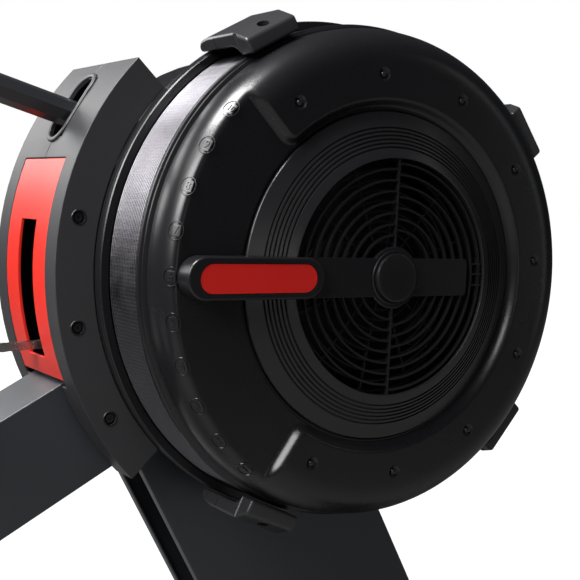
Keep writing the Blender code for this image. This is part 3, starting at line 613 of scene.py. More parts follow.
rim = damper_rim()
satin_ring = moulded(
    "turned_black_plastic", (0.011, 0.011, 0.012), 0.26, grain=2400, depth=0.00002, unevenness=0.05
)
install(smoothed(on_drum(rim), 28), "damper_rim", "damper", satin_ring, "black_plastic", "damper_disc")

left_half = slats([0.0400 + 0.01038 * i for i in range(7)], LEVER_TURN - 90, 180, 0.2003, 0.2040, 0.0021)
right_half = slats([0.0452 + 0.01038 * i for i in range(7)], LEVER_TURN + 90, 180, 0.2003, 0.2040, 0.0021)
spokes = [
    straight_bar(LEVER_TURN + turn - 0.7, 0.026, 0.1125, 0.0021, 0.2000, 0.2043) for turn in (-90, 90)
]
pins = []
for offset in (-0.008, 0.003, 0.013):
    pins.append(straight_bar(LEVER_TURN + 180, 0.098, 0.1125, 0.0016, 0.2003, 0.2041, offset))
pin_ring = slats([0.1060], LEVER_TURN + 170, 20, 0.2003, 0.2040, 0.0018)
hub_plate = ring_stack(
    [(0.0293, 0.2000), (0.0293, 0.2040), (0.0285, 0.2046), (0.0070, 0.2046), (0.0070, 0.2000)], sides=64
)
vents = joined([left_half, right_half, *spokes, *pins, pin_ring, hub_plate])
install(smoothed(on_drum(vents)), "damper_slats", "damper", satin_black, "black_plastic")

grille_rings = slats([0.0330 + 0.0098 * i for i in range(9)], 0, 360, 0.1820, 0.1850, 0.0018)
grille_ribs = [straight_bar(turn, 0.024, 0.1600, 0.0022, 0.1816, 0.1848) for turn in range(15, 375, 30)]
grille_frame = ring_stack(
    [(0.1645, 0.1816), (0.1645, 0.1855), (0.1150, 0.1855), (0.1150, 0.1816)], sides=128
)
grille_hub = ring_stack([(0.0260, 0.1816), (0.0260, 0.1855), (0.0110, 0.1855), (0.0110, 0.1816)], sides=48)
grille = joined([grille_rings, *grille_ribs, grille_frame, grille_hub])
install(smoothed(on_drum(grille)), "rear_grille", "machine", satin_black, "black_plastic", "vent_grille")


# Damper lever. One moulding: a raised rounded grip with a coloured inlay, a flat bar that runs on across
# the disc, and a button hub with a soft rim, pressed on over the axle.


def stadium(first, last, first_radius, last_radius, low, high, half_steps=20):
    """An upright prism with two round ends along the lever's line, for bevels and insets by the caller."""
    start()
    bpy.ops.mesh.primitive_circle_add(vertices=half_steps * 4, radius=1, fill_type="NGON")
    piece = bpy.context.object
    for vertex in piece.data.vertices:
        x, y, _ = vertex.co
        if x > 1e-4:
            vertex.co = (first + first_radius * x, first_radius * y, low)
        elif x < -1e-4:
            vertex.co = (last + last_radius * x, last_radius * y, low)
        else:
            vertex.co = ((first + last) / 2, y * (first_radius + last_radius) / 2, low)
    bpy.ops.object.mode_set(mode="EDIT")
    bpy.ops.mesh.select_all(action="SELECT")
    bpy.ops.mesh.extrude_region_move(TRANSFORM_OT_translate={"value": (0, 0, high - low)})
    face_outwards()
    return piece


def bevel_top(piece, height, width, segments=3):
    """Rounds the edges of the face at a height."""
    only(piece)
    bpy.ops.object.mode_set(mode="EDIT")
    bpy.ops.mesh.select_mode(type="FACE")
    bpy.ops.mesh.select_all(action="DESELECT")
    bpy.ops.object.mode_set(mode="OBJECT")
    for face in piece.data.polygons:
        face.select = abs(face.center.z - height) < 1e-5 and face.normal.z > 0.9
    bpy.ops.object.mode_set(mode="EDIT")
    bpy.ops.mesh.bevel(offset=width, segments=segments, affect="EDGES", profile=0.5)
    bpy.ops.object.mode_set(mode="OBJECT")
    return piece


def along_lever(piece):
    apply_place(piece)
    piece.rotation_euler = (0, 0, math.radians(LEVER_TURN))
    return on_drum(piece)


grip = stadium(0.2045, 0.1030, 0.0190, 0.0187, 0.1922, 0.2118)
bevel_top(grip, 0.2118, 0.0022, 3)
cut(grip, stadium(0.1985, 0.1050, 0.0135, 0.0132, 0.2098, 0.2200))
clearance = [
    (0.1575, 0.1800), (0.1575, 0.1928), (0.1120, 0.2066), (0.1110, 0.2000), (0.0100, 0.2000),
    (0.0100, 0.1800),
]
cut(grip, ring_stack(clearance, sides=96))
bar = stadium(0.1050, -0.0885, 0.0186, 0.0180, 0.1995, 0.2050)
for vertex in bar.data.vertices:
    # The far end is cut square, with a small round at each corner.
    x, y, _ = vertex.co
    if x < -0.0885:
        corner = min(abs(y) / 0.0180, 1.0)
        vertex.co.x = -0.0905 + 0.0020 * corner**6
        vertex.co.y = math.copysign(0.0180 * min(1.0, corner * 1.02), y)
bevel_top(bar, 0.2050, 0.0008, 2)
boss = ring_stack(
    [(0.0262, 0.2000), (0.0262, 0.2056), (0.0256, 0.2062), (0.0240, 0.2062), (0.0240, 0.2000)], sides=64
)
lever = joined([grip, bar, boss])
install(smoothed(along_lever(lever)), "lever_arm", "damper", satin_black, "black_plastic", "damper_lever")

inlay = stadium(0.1985, 0.1050, 0.0131, 0.0128, 0.2099, 0.2114)
bevel_top(inlay, 0.2114, 0.0004, 2)
signal_red = moulded(
    "signal_red_plastic", (0.60, 0.010, 0.006), 0.42, grain=900, depth=0.00002, unevenness=0.05
)
install(smoothed(along_lever(inlay)), "lever_inlay", "damper", signal_red, "red_plastic")

button = [
    (0.0232, 0.2040), (0.0232, 0.2082), (0.0227, 0.2094), (0.0217, 0.2100), (0.0202, 0.2100),
    (0.0192, 0.2096),
]
button += [(0.0090, 0.2094), (0.0020, 0.2093)]
hub_cap = ring_stack(button, sides=96, closed=False)
install(smoothed(on_drum(hub_cap)), "lever_button", "damper", satin_black, "black_plastic")


# Mesh band. Woven steel wire that lets the fan draw air: hoops round the drum and short wires across
# them, soldered into a strip and held between the cover's lip and the cage.
BAND_LOW, BAND_HIGH = 0.0842, 0.1452
HOOPS, SHORT_WIRES = 19, 430


def wire_band():
    start()
    bpy.ops.mesh.primitive_plane_add(size=1)
    band = bpy.context.object
    bpy.ops.object.mode_set(mode="EDIT")
    bpy.ops.mesh.delete(type="VERT")
    for i in range(HOOPS):
        height = BAND_LOW + (BAND_HIGH - BAND_LOW) * i / (HOOPS - 1)
        sizes = {"major_radius": 0.23935, "minor_radius": 0.00062, "location": (0, 0, height)}
        bpy.ops.mesh.primitive_torus_add(major_segments=180, minor_segments=4, **sizes)
    bpy.ops.mesh.select_all(action="DESELECT")
    middle = (BAND_LOW + BAND_HIGH) / 2
    bpy.ops.mesh.primitive_cylinder_add(
        vertices=4, radius=0.00066, depth=BAND_HIGH - BAND_LOW, location=(
            0.2388, 0, middle
        ), end_fill_type="NGON"
    )
    sweep = math.tau * (SHORT_WIRES - 1) / SHORT_WIRES
    bpy.ops.mesh.spin(steps=SHORT_WIRES, dupli=True, angle=sweep, center=(0, 0, 0), axis=(0, 0, 1))
    bpy.ops.object.mode_set(mode="OBJECT")
    return band


def metal(name, colour, roughness, streaks=(1, 1, 40), streak_depth=0.00002, metallic=1.0, stretch=0.10):
    """Bare metal with fine drawn lines along one axis and patches of duller surface."""
    made, tree, place = new_finish(name)
    stretched = add_node(tree, "Mapping", {"Vector": place, "Scale": streaks})
    lines = add_node(tree, "TexNoise", {"Vector": stretched.outputs[0], "Scale": 60, "Detail": 4})
    patches = add_node(tree, "TexNoise", {"Vector": place, "Scale": 22, "Detail": 4})
    both = add_node(tree, "Math", {0: lines.outputs["Fac"], 1: patches.outputs["Fac"]}, operation="ADD")
    gloss = spread(tree, both.outputs[0], (roughness - stretch, roughness + stretch), (0.6, 1.4))
    shade = spread(tree, both.outputs[0], (0.82, 1.0), (0.6, 1.4))
    tint = add_node(tree, "Mix", data_type="RGBA", blend_type="MULTIPLY")
    tint.inputs[0].default_value = 1.0
    tint.inputs[6].default_value = (*colour, 1)
    tree.links.new(shade.outputs[0], tint.inputs[7])
    bump = add_node(tree, "Bump", {"Distance": streak_depth, "Height": lines.outputs["Fac"]})
    shader = onto_shader(tree, tint.outputs[2], gloss.outputs[0], bump.outputs[0])
    shader.inputs["Metallic"].default_value = metallic
    return made


wire_steel = metal("wire_steel", (0.13, 0.125, 0.135), 0.36, streaks=(1, 1, 1))
install(on_drum(wire_band()), "wire_mesh", "machine", wire_steel, "mesh_steel", "mesh_band")


# Cage. A black ring that the mesh stands in, turned with a rounded outer edge and a groove, with a flat
# web that closes the drum's inner side.
cage_profile = [
    (0.2500, 0.0790), (0.2500, 0.0862), (0.2491, 0.0868), (0.2491, 0.0876), (0.2498, 0.0882),
    (0.2496, 0.0900),
]
cage_profile += [
    (0.2486, 0.0910), (0.2416, 0.0910), (0.2412, 0.0905), (0.2412, 0.0836), (0.0300, 0.0836),
    (0.0300, 0.0786), (0.2490, 0.0786),
]
cage = ring_stack(cage_profile, sides=256)
install(smoothed(on_drum(cage)), "cage_ring", "machine", satin_black, "black_plastic", "cage_back")


# Clips. Four moulded brackets hold the cover to the cage. Each arches over the mesh, stands on the
# cover's lip, has two seams across its back and a deep counterbored screw in its sloping front.


def prism(outline, low, high):
    """A closed outline of (x, z) points made solid between two y values."""
    start()
    bpy.ops.mesh.primitive_circle_add(vertices=len(outline), radius=1, fill_type="NGON")
    piece = bpy.context.object
    for vertex, (x, z) in zip(piece.data.vertices, outline):
        vertex.co = (x, low, z)
    edit_all()
    bpy.ops.mesh.extrude_region_move(TRANSFORM_OT_translate={"value": (0, high - low, 0)})
    face_outwards()
    return piece


def block(low, high):
    start()
    bpy.ops.mesh.primitive_cube_add(size=1, location=[(a + b) / 2 for a, b in zip(low, high)])
    piece = bpy.context.object
    piece.scale = [b - a for a, b in zip(low, high)]
    apply_place(piece)
    return piece


def rod(first, last, radius, sides=32, end_radius=None):
    """A straight round bar, or a cone, between two points."""
    first, last = Vector(first), Vector(last)
    start()
    bpy.ops.mesh.primitive_cone_add(
        vertices=sides,
        radius1=radius,
        radius2=radius if end_radius is None else end_radius,
        depth=(last - first).length,
        location=(first + last) / 2,
        rotation=(last - first).to_track_quat("Z", "Y").to_euler(),
    )
    piece = bpy.context.object
    apply_place(piece)
    return piece


def rounded(piece, width, segments=2, angle=30):
    return apply_modifier(
        piece, "BEVEL", width=width, segments=segments, limit_method="ANGLE", angle_limit=math.radians(
            angle
        )
    )


def clip(turn):
    outline = [(0.2508, 0.0798), (0.2570, 0.0798), (0.2615, 0.0850), (0.2640, 0.1000), (0.2640, 0.1470)]
    outline += [
        (0.2560, 0.1672), (0.2415, 0.1680), (0.2415, 0.1490), (0.2480, 0.1440), (0.2505, 0.1380),
        (0.2505, 0.0900),
    ]
    body = rounded(prism(outline, -0.029, 0.029), 0.0034, 3, 22)
    slope = Vector((0.0202, 0, 0.0080)).normalized()
    middle = Vector((0.2602, 0, 0.1565))
    cut(body, rod(middle + slope * 0.010, middle - slope * 0.0075, 0.0058, 28))
    for height in (0.0905, 0.1110):
        for low, high in (
            ((0.2450, -0.0295, height), (0.2700, -0.0284, height + 0.0008)),
            ((0.2450, 0.0284, height), (0.2700, 0.0295, height + 0.0008)),
            ((0.2634, -0.0300, height), (0.2700, 0.0300, height + 0.0008)),
        ):
            cut(body, block(low, high))
    for side in (-1, 1):
        cut(body, rod((0.2380, side * 0.0302, 0.1500), (0.2700, side * 0.0302, 0.1500), 0.0030, 20))
    head = rod(middle - slope * 0.0080, middle - slope * 0.0045, 0.0043, 20)
    cut(head, rod(middle - slope * 0.0062, middle, 0.0021, 6))
    whole = joined([body, head])
    whole.rotation_euler = (0, 0, math.radians(turn))
    return smoothed(on_drum(whole), 35)


clip_black = moulded("clip_black_plastic", (0.020, 0.020, 0.022), 0.33, grain=1400, depth=0.00003)
for place, turn in {"top": 114, "bottom": 241, "front_top": 32, "front_bottom": 314}.items():
    install(
        clip(turn),
        f"cover_clip_{place}_body",
        "machine",
        clip_black,
        "black_plastic",
        f"cover_clip_{place}",
    )


# Guards. Two halves of a matte charcoal moulding close round the drum's rear, meet on a seam and are
# screwed together from the rower's right. A collar stands round the slot of the monitor's arm.


def softened(node, width=0.0012, segments=2, angle=35):
    """A copy of a CAD piece with its faces merged, its edges rounded and its shading smooth."""
    source = bpy.data.objects[node]
    piece = bpy.data.objects.new(node + "_soft", source.data.copy())
    piece.data.transform(source.matrix_world)
    bpy.context.scene.collection.objects.link(piece)
    only(piece)
    edit_all()
    bpy.ops.mesh.remove_doubles(threshold=0.00002)
    bpy.ops.mesh.dissolve_limited(angle_limit=math.radians(0.6))
    bpy.ops.mesh.normals_make_consistent(inside=False)
    bpy.ops.mesh.customdata_custom_splitnormals_clear()
    bpy.ops.object.mode_set(mode="OBJECT")
    if width:
        rounded(piece, width, segments, angle)
    return smoothed(piece, angle)


def refinished(node, name, body, material, slot, *edges, **shading):
    """Shows a softened copy of a CAD piece in its place."""
    return install(softened(node, *edges, **shading), name, body, material, slot, node)


guard_charcoal = moulded(
    "guard_charcoal_plastic", (0.024, 0.024, 0.026), 0.50, grain=1100, depth=0.00006, unevenness=0.06
)
SCREW_CIRCLE = 0.270
SCREW_TURNS = (180 - 14.8, 180 + 6.8, 180 + 26.7)
for side in ("right", "left"):
    shell = softened(f"guard_{side}", 0.0022, 3)
    if side == "right":
        for turn in SCREW_TURNS:
            well = rod(polar(turn, SCREW_CIRCLE, 0.0740), polar(turn, SCREW_CIRCLE, 0.0900), 0.0062, 28)
            cut(shell, on_drum(well))
        smoothed(shell, 35)
    install(shell, f"guard_{side}_shell", "machine", guard_charcoal, "guard_plastic", f"guard_{side}")

screws = []
for turn in SCREW_TURNS:
    floor_disc = rod(polar(turn, SCREW_CIRCLE, 0.0735), polar(turn, SCREW_CIRCLE, 0.0741), 0.0064, 28)
    rim = ring_stack(
        [
            (0.0060, 0.0780), (0.0060, 0.0783), (0.0072, 0.0783), (0.0075, 0.0780), (0.0072, 0.0776),
            (0.0060, 0.0776),
        ],
        sides=36,
    )
    rim.location = polar(turn, SCREW_CIRCLE)
    apply_place(rim)
    head = rod(polar(turn, SCREW_CIRCLE, 0.0740), polar(turn, SCREW_CIRCLE, 0.0764), 0.0046, 24, 0.0040)
    cut(head, rod(polar(turn, SCREW_CIRCLE, 0.0752), polar(turn, SCREW_CIRCLE, 0.0775), 0.0020, 6))
    screws += [floor_disc, rim, head]
dark_steel = moulded("blackened_steel", (0.045, 0.045, 0.048), 0.30, grain=800, depth=0.00003, metallic=0.8)
install(smoothed(on_drum(joined(screws)), 35), "guard_screws", "machine", dark_steel, "black_plastic")


def bent_collar(middle_turn, half_long, half_wide, band, radius, thick):
    """A stadium ring of rounded section wrapped on the guard's round outside."""
    steps = 20
    ends = [(half_long, 0.0, -90, 90), (-half_long, 0.0, 90, 270)]
    outer, inner = [], []
    for along, across, first, last in ends:
        for i in range(steps + 1):
            turn = math.radians(first + (last - first) * i / steps)
            outer.append((along + half_wide * math.cos(turn), across + half_wide * math.sin(turn)))
            shrunk = half_wide - band
            inner.append((along + shrunk * math.cos(turn), across + shrunk * math.sin(turn)))
    start()
    bpy.ops.mesh.primitive_circle_add(vertices=len(outer), radius=1)
    piece = bpy.context.object
    for vertex, (x, y) in zip(piece.data.vertices, outer):
        vertex.co = (x, y, 0)
    edit_all()
    for share, height in ((0.0, 0.6), (0.18, 0.95), (0.5, 1.05), (0.82, 0.95), (1.0, 0.6), (1.0, -1.2)):
        bpy.ops.mesh.extrude_region_move()
        bpy.ops.object.mode_set(mode="OBJECT")
        fresh = [vertex for vertex in piece.data.vertices if vertex.select]
        for vertex, (x, y), (u, v) in zip(fresh, outer, inner):
            vertex.co = (x + (u - x) * share, y + (v - y) * share, thick * height)
        bpy.ops.object.mode_set(mode="EDIT")
    face_outwards()
    for vertex in piece.data.vertices:
        along, across, up = vertex.co
        spot = polar(middle_turn + math.degrees(along / radius), radius + up)
        vertex.co = (spot.x, spot.y, across)
    return piece


collar = bent_collar(180 - 36.75, 0.0190, 0.0215, 0.0050, 0.2880, 0.0022)
apply_modifier(collar, "SOLIDIFY", thickness=0.0006, offset=-1)
collar_grey = moulded("collar_plastic", (0.032, 0.032, 0.034), 0.45, grain=1100, depth=0.00004)
install(smoothed(on_drum(collar), 45), "arm_slot_collar", "machine", collar_grey, "guard_plastic")


# Chain panel. A convex red moulding clipped into the guards, with a tall slot for the chain and softly
# rounded edges.
panel = softened("chain_panel", 0.0012, 3)
panel_red = moulded(
    "panel_red_plastic", (0.66, 0.022, 0.012), 0.40, grain=1000, depth=0.00003, unevenness=0.05
)
install(panel, "chain_panel_shell", "machine", panel_red, "red_plastic", "chain_panel")


# Left cover, barrel and axle plates. A round moulded cover closes the sprocket's side of the drum; the
# folded steel barrel joins it to the cage and two plates carry the axle's bearings.
side = softened("side_cover", 0.0025, 3)
install(side, "side_cover_shell", "machine", satin_black, "black_plastic", "side_cover")
rib_rings = []
for i in range(5):
    r = 0.168 + 0.009 * i
    rib = [(r, -0.0998), (r + 0.0006, -0.1010), (r + 0.0034, -0.1010), (r + 0.0040, -0.0998)]
    rib_rings.append(ring_stack(rib, sides=160))
side_cap = ring_stack(
    [(0.034, -0.0998), (0.0335, -0.1016), (0.0305, -0.1022), (0.0020, -0.1022)], sides=64, closed=False
)
side_trim = joined([*rib_rings, side_cap])
install(smoothed(on_drum(side_trim)), "side_cover_ribs", "machine", satin_black, "black_plastic")
drum_barrel = softened("barrel", 0.0006, 2)
install(drum_barrel, "barrel_shell", "machine", satin_black, "black_plastic", "barrel")
for side in ("left", "right"):
    plate = softened(f"axle_plate_{side}", 0.0010, 2)
    install(plate, f"axle_plate_{side}_sheet", "machine", dark_steel, "frame_paint", f"axle_plate_{side}")


# Fan and sprocket. The fan wheel is moulded in black plastic on a steel axle, and the chain's sprocket
# drives the axle through a one-way clutch.
zinc = metal("zinc_plated_steel", (0.55, 0.55, 0.57), 0.36, streaks=(1, 1, 1))
fan_black = moulded("fan_black_plastic", (0.012, 0.012, 0.013), 0.5)
refinished("fan_rotor", "fan_wheel", "fan", fan_black, "bright_steel", 0.0, angle=30)
refinished("axle", "axle_shaft", "fan", zinc, "bright_steel", 0.0006, 2)
refinished("drive_sprocket", "drive_sprocket_wheel", "sprocket", zinc, "bright_steel", 0.0003, 1)


# Frame. Folded and welded steel: the front leg is a channel, the beam and the rail's feet are closed
# sections. All of it is powder coated dark blue-grey, with zinc bolts at the joint.


def painted(name, colour, roughness):
    """Powder coat: orange-peel bumps over a slow change of gloss, under a clear skin."""
    made = moulded(name, colour, roughness, grain=380, depth=0.00005, unevenness=0.12)
    made.node_tree.nodes["Principled BSDF"].inputs["Coat Weight"].default_value = 0.25
    made.node_tree.nodes["Principled BSDF"].inputs["Coat Roughness"].default_value = 0.25
    return made


frame_paint = painted("powder_coat", (0.022, 0.025, 0.030), 0.42)
for node in ("main_beam", "front_leg", "front_foot", "rear_leg", "rear_foot", "joint_bracket"):
    refinished(node, node + "_steel", "machine", frame_paint, "frame_paint", 0.0018, 3)


def hex_bolt(place, outward, size=0.0065):
    """A hexagon bolt head on a washer."""
    place, outward = Vector(place), Vector(outward).normalized()
    washer = rod(place, place + outward * 0.0016, size * 1.55, 28)
    head = rod(place + outward * 0.0016, place + outward * (0.0016 + size * 0.8), size, 6)
    return [washer, rounded(head, size * 0.08, 1)]


bolts = []
bracket_low, bracket_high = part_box("joint_bracket")
for side in (-1, 1):
    y = bracket_high.y if side > 0 else bracket_low.y
    for x_share, z_share in ((0.30, 0.72), (0.62, 0.72), (0.84, 0.80)):
        x = bracket_low.x + (bracket_high.x - bracket_low.x) * x_share
        z = bracket_low.z + (bracket_high.z - bracket_low.z) * z_share
        bolts += hex_bolt((x, y, z), (0, side, 0), 0.0062)
install(smoothed(joined(bolts), 30), "joint_bolts", "machine", zinc, "bright_steel")


# Rail. An extruded and brushed aluminium monorail that the seat's rollers run on, with a black moulded
# stop at each end.
rail_aluminium = metal(
    "brushed_aluminium", (0.78, 0.79, 0.80), 0.48, streaks=(0.02, 1, 1), streak_depth=0.00003, stretch=0.06
)
refinished("rail", "rail_extrusion", "machine", rail_aluminium, "rail_aluminium", 0.0012, 2)
stop_black = moulded("stop_black_plastic", (0.015, 0.015, 0.016), 0.55)
for node in ("rail_stop_front", "rail_stop_rear"):
    refinished(node, node + "_block", "machine", stop_black, "black_plastic", 0.0025, 3)


# Feet. Moulded rubber shoes under both feet and two transport wheels on the front one.
shoe_rubber = moulded("shoe_rubber", (0.018, 0.018, 0.018), 0.72, grain=700, depth=0.00010)
for node in ("front_shoe_left", "front_shoe_right", "rear_shoe_left", "rear_shoe_right"):
    refinished(node, node + "_cap", "machine", shoe_rubber, "rubber", 0.0025, 3)
for side in ("left", "right"):
    node = f"transport_wheel_{side}"
    low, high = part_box(node)
    middle = (low + high) / 2
    half = (high.y - low.y) / 2
    tyre = [
        (0.0230, -half), (0.0285, -half), (0.0300, -half * 0.72), (0.0300, half * 0.72), (0.0285, half),
        (0.0230, half),
    ]
    hub = [(0.0050, -half * 0.8), (0.0120, -half * 0.8), (0.0225, -half * 0.35), (0.0225, half * 0.35)]
    hub += [(0.0120, half * 0.8), (0.0050, half * 0.8)]
    for part, rings, finish in (("tyre", tyre, shoe_rubber), ("hub", hub, stop_black)):
        wheel = ring_stack(rings, sides=64)
        laid_across(wheel, middle)
        extra = (node,) if part == "tyre" else ()
        install(smoothed(wheel), f"{node}_{part}", f"wheel_{side}", finish, "rubber", *extra)


# Chain. Nickel-plated roller chain with a 9.5 mm pitch. The handle draws its leading run, made link by
# link. The two runs behind it stay inside the machine.
chain_nickel = metal("nickel_plated_steel", (0.60, 0.59, 0.57), 0.30, streaks=(1, 1, 1))
PITCH = 0.0095


def chain_link(width, thick, across):
    """Two side plates and their rollers, one pitch long, centred on the first pin."""
    parts = []
    for side in (-1, 1):
        plate = stadium(PITCH, 0.0, 0.0041, 0.0041, 0.0, thick, 3)
        parts.append(laid_across(plate, (0, side * across + thick / 2, 0)))
    for x in (0.0, PITCH):
        parts.append(rod((x, -width, 0), (x, width, 0), 0.0025, 10))
    return joined(parts)


def chain_run(first, last):
    """Wide and narrow links in turn, copied along a straight line."""
    first, last = Vector(first), Vector(last)
    narrow = chain_link(0.0030, 0.0010, 0.0026)
    wide = chain_link(0.0047, 0.0010, 0.0038)
    wide.location = (PITCH, 0, 0)
    apply_place(wide)
    pair = joined([narrow, wide])
    count = int((last - first).length / (2 * PITCH))
    pair.rotation_euler = (last - first).to_track_quat("X", "Z").to_euler()
    apply_place(pair)
    apply_modifier(
        pair,
        "ARRAY",
        count=count,
        use_relative_offset=False,
        use_constant_offset=True,
        constant_offset_displace=(last - first).normalized() * (2 * PITCH),
    )
    pair.location = first
    apply_place(pair)
    return pair


for node, body in (
    ("chain_lead", "handle"), ("chain_mid", "chain_middle_run"), ("chain_tail", "chain_last_run")
):
    low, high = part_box(node)
    if node == "chain_lead":
        first = Vector((low.x + 0.006, 0, high.z - 0.0050))
        last = Vector((high.x - 0.006, 0, low.z + 0.0050))
        install(
            smoothed(chain_run(first, last), 40), node + "_links", body, chain_nickel, "bright_steel", node
        )
    else:
        refinished(node, node + "_run", body, chain_nickel, "bright_steel", 0.0)


# Handle. A bent steel bar with two foam-rubber grips, a rounded plug in each end and a swivel in the
# middle that the chain's last pin passes through.
bar_black = painted("handle_coat", (0.016, 0.016, 0.017), 0.36)
refinished("handle_bar", "handle_tube", "handle", bar_black, "bright_steel", 0.0, angle=40)


def ribbed_grip(node, side):
    """A grip with rolled ends and shallow ribs, made along its own axis and then laid on the bar."""
    source = softened(node, 0.0)
    spots = np.array([vertex.co for vertex in source.data.vertices])
    bpy.data.objects.remove(source)
    reach = spots[:, 1] * side
    inner = Vector(spots[reach < reach.min() + 0.006].mean(axis=0))
    outer = Vector(spots[reach > reach.max() - 0.006].mean(axis=0))
    run = outer - inner
    length = run.length
    rings = [(0.0100, 0.0), (0.0138, 0.0), (0.0150, 0.0006), (0.0157, 0.0020)]
    count = 17
    for i in range(count):
        begin = 0.006 + (length - 0.012) * i / count
        step = (length - 0.012) / count
        rings += [
            (0.0158, begin), (0.0158, begin + step * 0.55), (0.0151, begin + step * 0.68),
            (0.0151, begin + step * 0.87),
        ]
    rings += [
        (0.0158, length - 0.005), (0.0157, length - 0.0020), (0.0150, length - 0.0006), (0.0138, length),
        (0.0100, length),
    ]
    grip_piece = ring_stack(rings, sides=48)
    grip_piece.rotation_euler = run.to_track_quat("Z", "Y").to_euler()
    grip_piece.location = inner
    apply_place(grip_piece)
    plug = ring_stack(
        [(0.0094, -0.004), (0.0094, 0.0012), (0.0080, 0.0034), (0.0050, 0.0046), (0.0010, 0.0050)],
        sides=32,
        closed=False,
    )
    plug.rotation_euler = run.to_track_quat("Z", "Y").to_euler()
    plug.location = outer
    apply_place(plug)
    return smoothed(grip_piece, 40), smoothed(plug, 40)


grip_rubber = moulded("grip_rubber", (0.014, 0.014, 0.014), 0.78, grain=1300, depth=0.00012)
for side, name in ((1, "left"), (-1, "right")):
    soft_grip, end_plug = ribbed_grip(f"handle_grip_{name}", side)
    install(soft_grip, f"handle_grip_{name}_sleeve", "handle", grip_rubber, "rubber", f"handle_grip_{name}")
    install(end_plug, f"handle_plug_{name}", "handle", stop_black, "rubber")
bar_low, bar_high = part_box("handle_bar")
grip_middle = Vector((bar_low.x + 0.0105, 0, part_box("chain_lead")[1].z - 0.005))
swivel = [
    rod(grip_middle + Vector((-0.0005, 0, 0)), grip_middle + Vector((0.0230, 0, 0)), 0.0065, 32, 0.0052),
    rod(grip_middle + Vector((0.0080, 0, 0)), grip_middle + Vector((0.0120, 0, 0)), 0.0088, 32),
    rod(grip_middle + Vector((0.0190, -0.0062, 0)), grip_middle + Vector((0.0190, 0.0062, 0)), 0.0030, 20),
]
collar_ring = ring_stack(
    [
        (0.0096, -0.011), (0.0125, -0.011), (0.0132, -0.009), (0.0132, 0.009), (0.0125, 0.011),
        (0.0096, 0.011),
    ],
    sides=40,
)
swivel.append(laid_across(collar_ring, (bar_low.x + 0.0095, 0, (bar_low.z + bar_high.z) / 2)))
install(smoothed(joined(swivel), 35), "handle_swivel", "handle", chain_nickel, "bright_steel")
refinished("handle_hook", "handle_cradle", "machine", stop_black, "black_plastic", 0.0018, 3)


# Footrests. Each foot stands on a moulded plate with raised treads, under a woven strap with a buckle,
# and against a heel cup that slides along the plate.
TILT = math.radians(48)
DOWN = Vector((-math.cos(TILT), 0, -math.sin(TILT)))
OUT = Vector((-math.sin(TILT), 0, math.cos(TILT)))
toe = axle + Vector((-0.530, 0, -0.105))


def foot_matrix(side):
    """Axes of a footrest: x down the plate from the toes, y to the left, z out of the plate."""
    base = toe + Vector((0, side * 0.130, 0))
    across = OUT.cross(DOWN)
    made = Matrix((DOWN, across, OUT)).transposed().to_4x4()
    made.translation = base
    return made


footrest_black = moulded("footrest_plastic", (0.018, 0.018, 0.019), 0.48, grain=900, depth=0.00008)
for side, name in ((1, "left"), (-1, "right")):
    node = f"foot_plate_{name}"
    refinished(node, node + "_board", "machine", footrest_black, "black_plastic", 0.0018, 3)
    refinished(
        f"heel_cup_{name}",
        f"heel_cup_{name}_slide",
        f"heel_{name}",
        footrest_black,
        "black_plastic",
        0.0016,
        3,
    )
    place = foot_matrix(side)
    local = [place.inverted() @ vertex.co for vertex in bpy.data.objects[node + "_board"].data.vertices]
    top = max(spot.z for spot in local)
    lines = []
    for i in range(9):
        x = 0.018 + i * 0.0100
        lines.append(
            rounded(block((x, -0.043, top - 0.0008), (x + 0.0042, 0.043, top + 0.0011)), 0.0006, 2)
        )
    treads = joined(lines)
    treads.data.transform(place)
    install(smoothed(treads, 35), f"foot_treads_{name}", "machine", shoe_rubber, "rubber")


def webbing(name):
    """Woven nylon: a fine twill made of two crossing waves, soft at the edges, matte with a faint sheen."""
    made, tree, place = new_finish(name)
    turned = add_node(tree, "Mapping", {"Vector": place, "Rotation": (0.6, 0.5, 0.785)})
    warp = add_node(tree, "TexWave", {"Vector": turned.outputs[0], "Scale": 420, "Distortion": 0.4})
    weft = add_node(
        tree, "TexWave", {"Vector": turned.outputs[0], "Scale": 420, "Distortion": 0.4}, bands_direction="Y"
    )
    both = add_node(tree, "Math", {0: warp.outputs["Fac"], 1: weft.outputs["Fac"]}, operation="MULTIPLY")
    bump = add_node(tree, "Bump", {"Distance": 0.0004, "Height": both.outputs[0]})
    fuzz = add_node(tree, "TexNoise", {"Vector": place, "Scale": 90, "Detail": 4})
    shade = spread(tree, fuzz.outputs["Fac"], (0.010, 0.030))
    colour = add_node(tree, "CombineColor", {0: shade.outputs[0], 1: shade.outputs[0], 2: shade.outputs[0]})
    dull = spread(tree, fuzz.outputs["Fac"], (0.75, 0.95))
    shader = onto_shader(tree, colour.outputs[0], dull.outputs[0], bump.outputs[0])
    shader.inputs["Sheen Weight"].default_value = 0.3
    return made


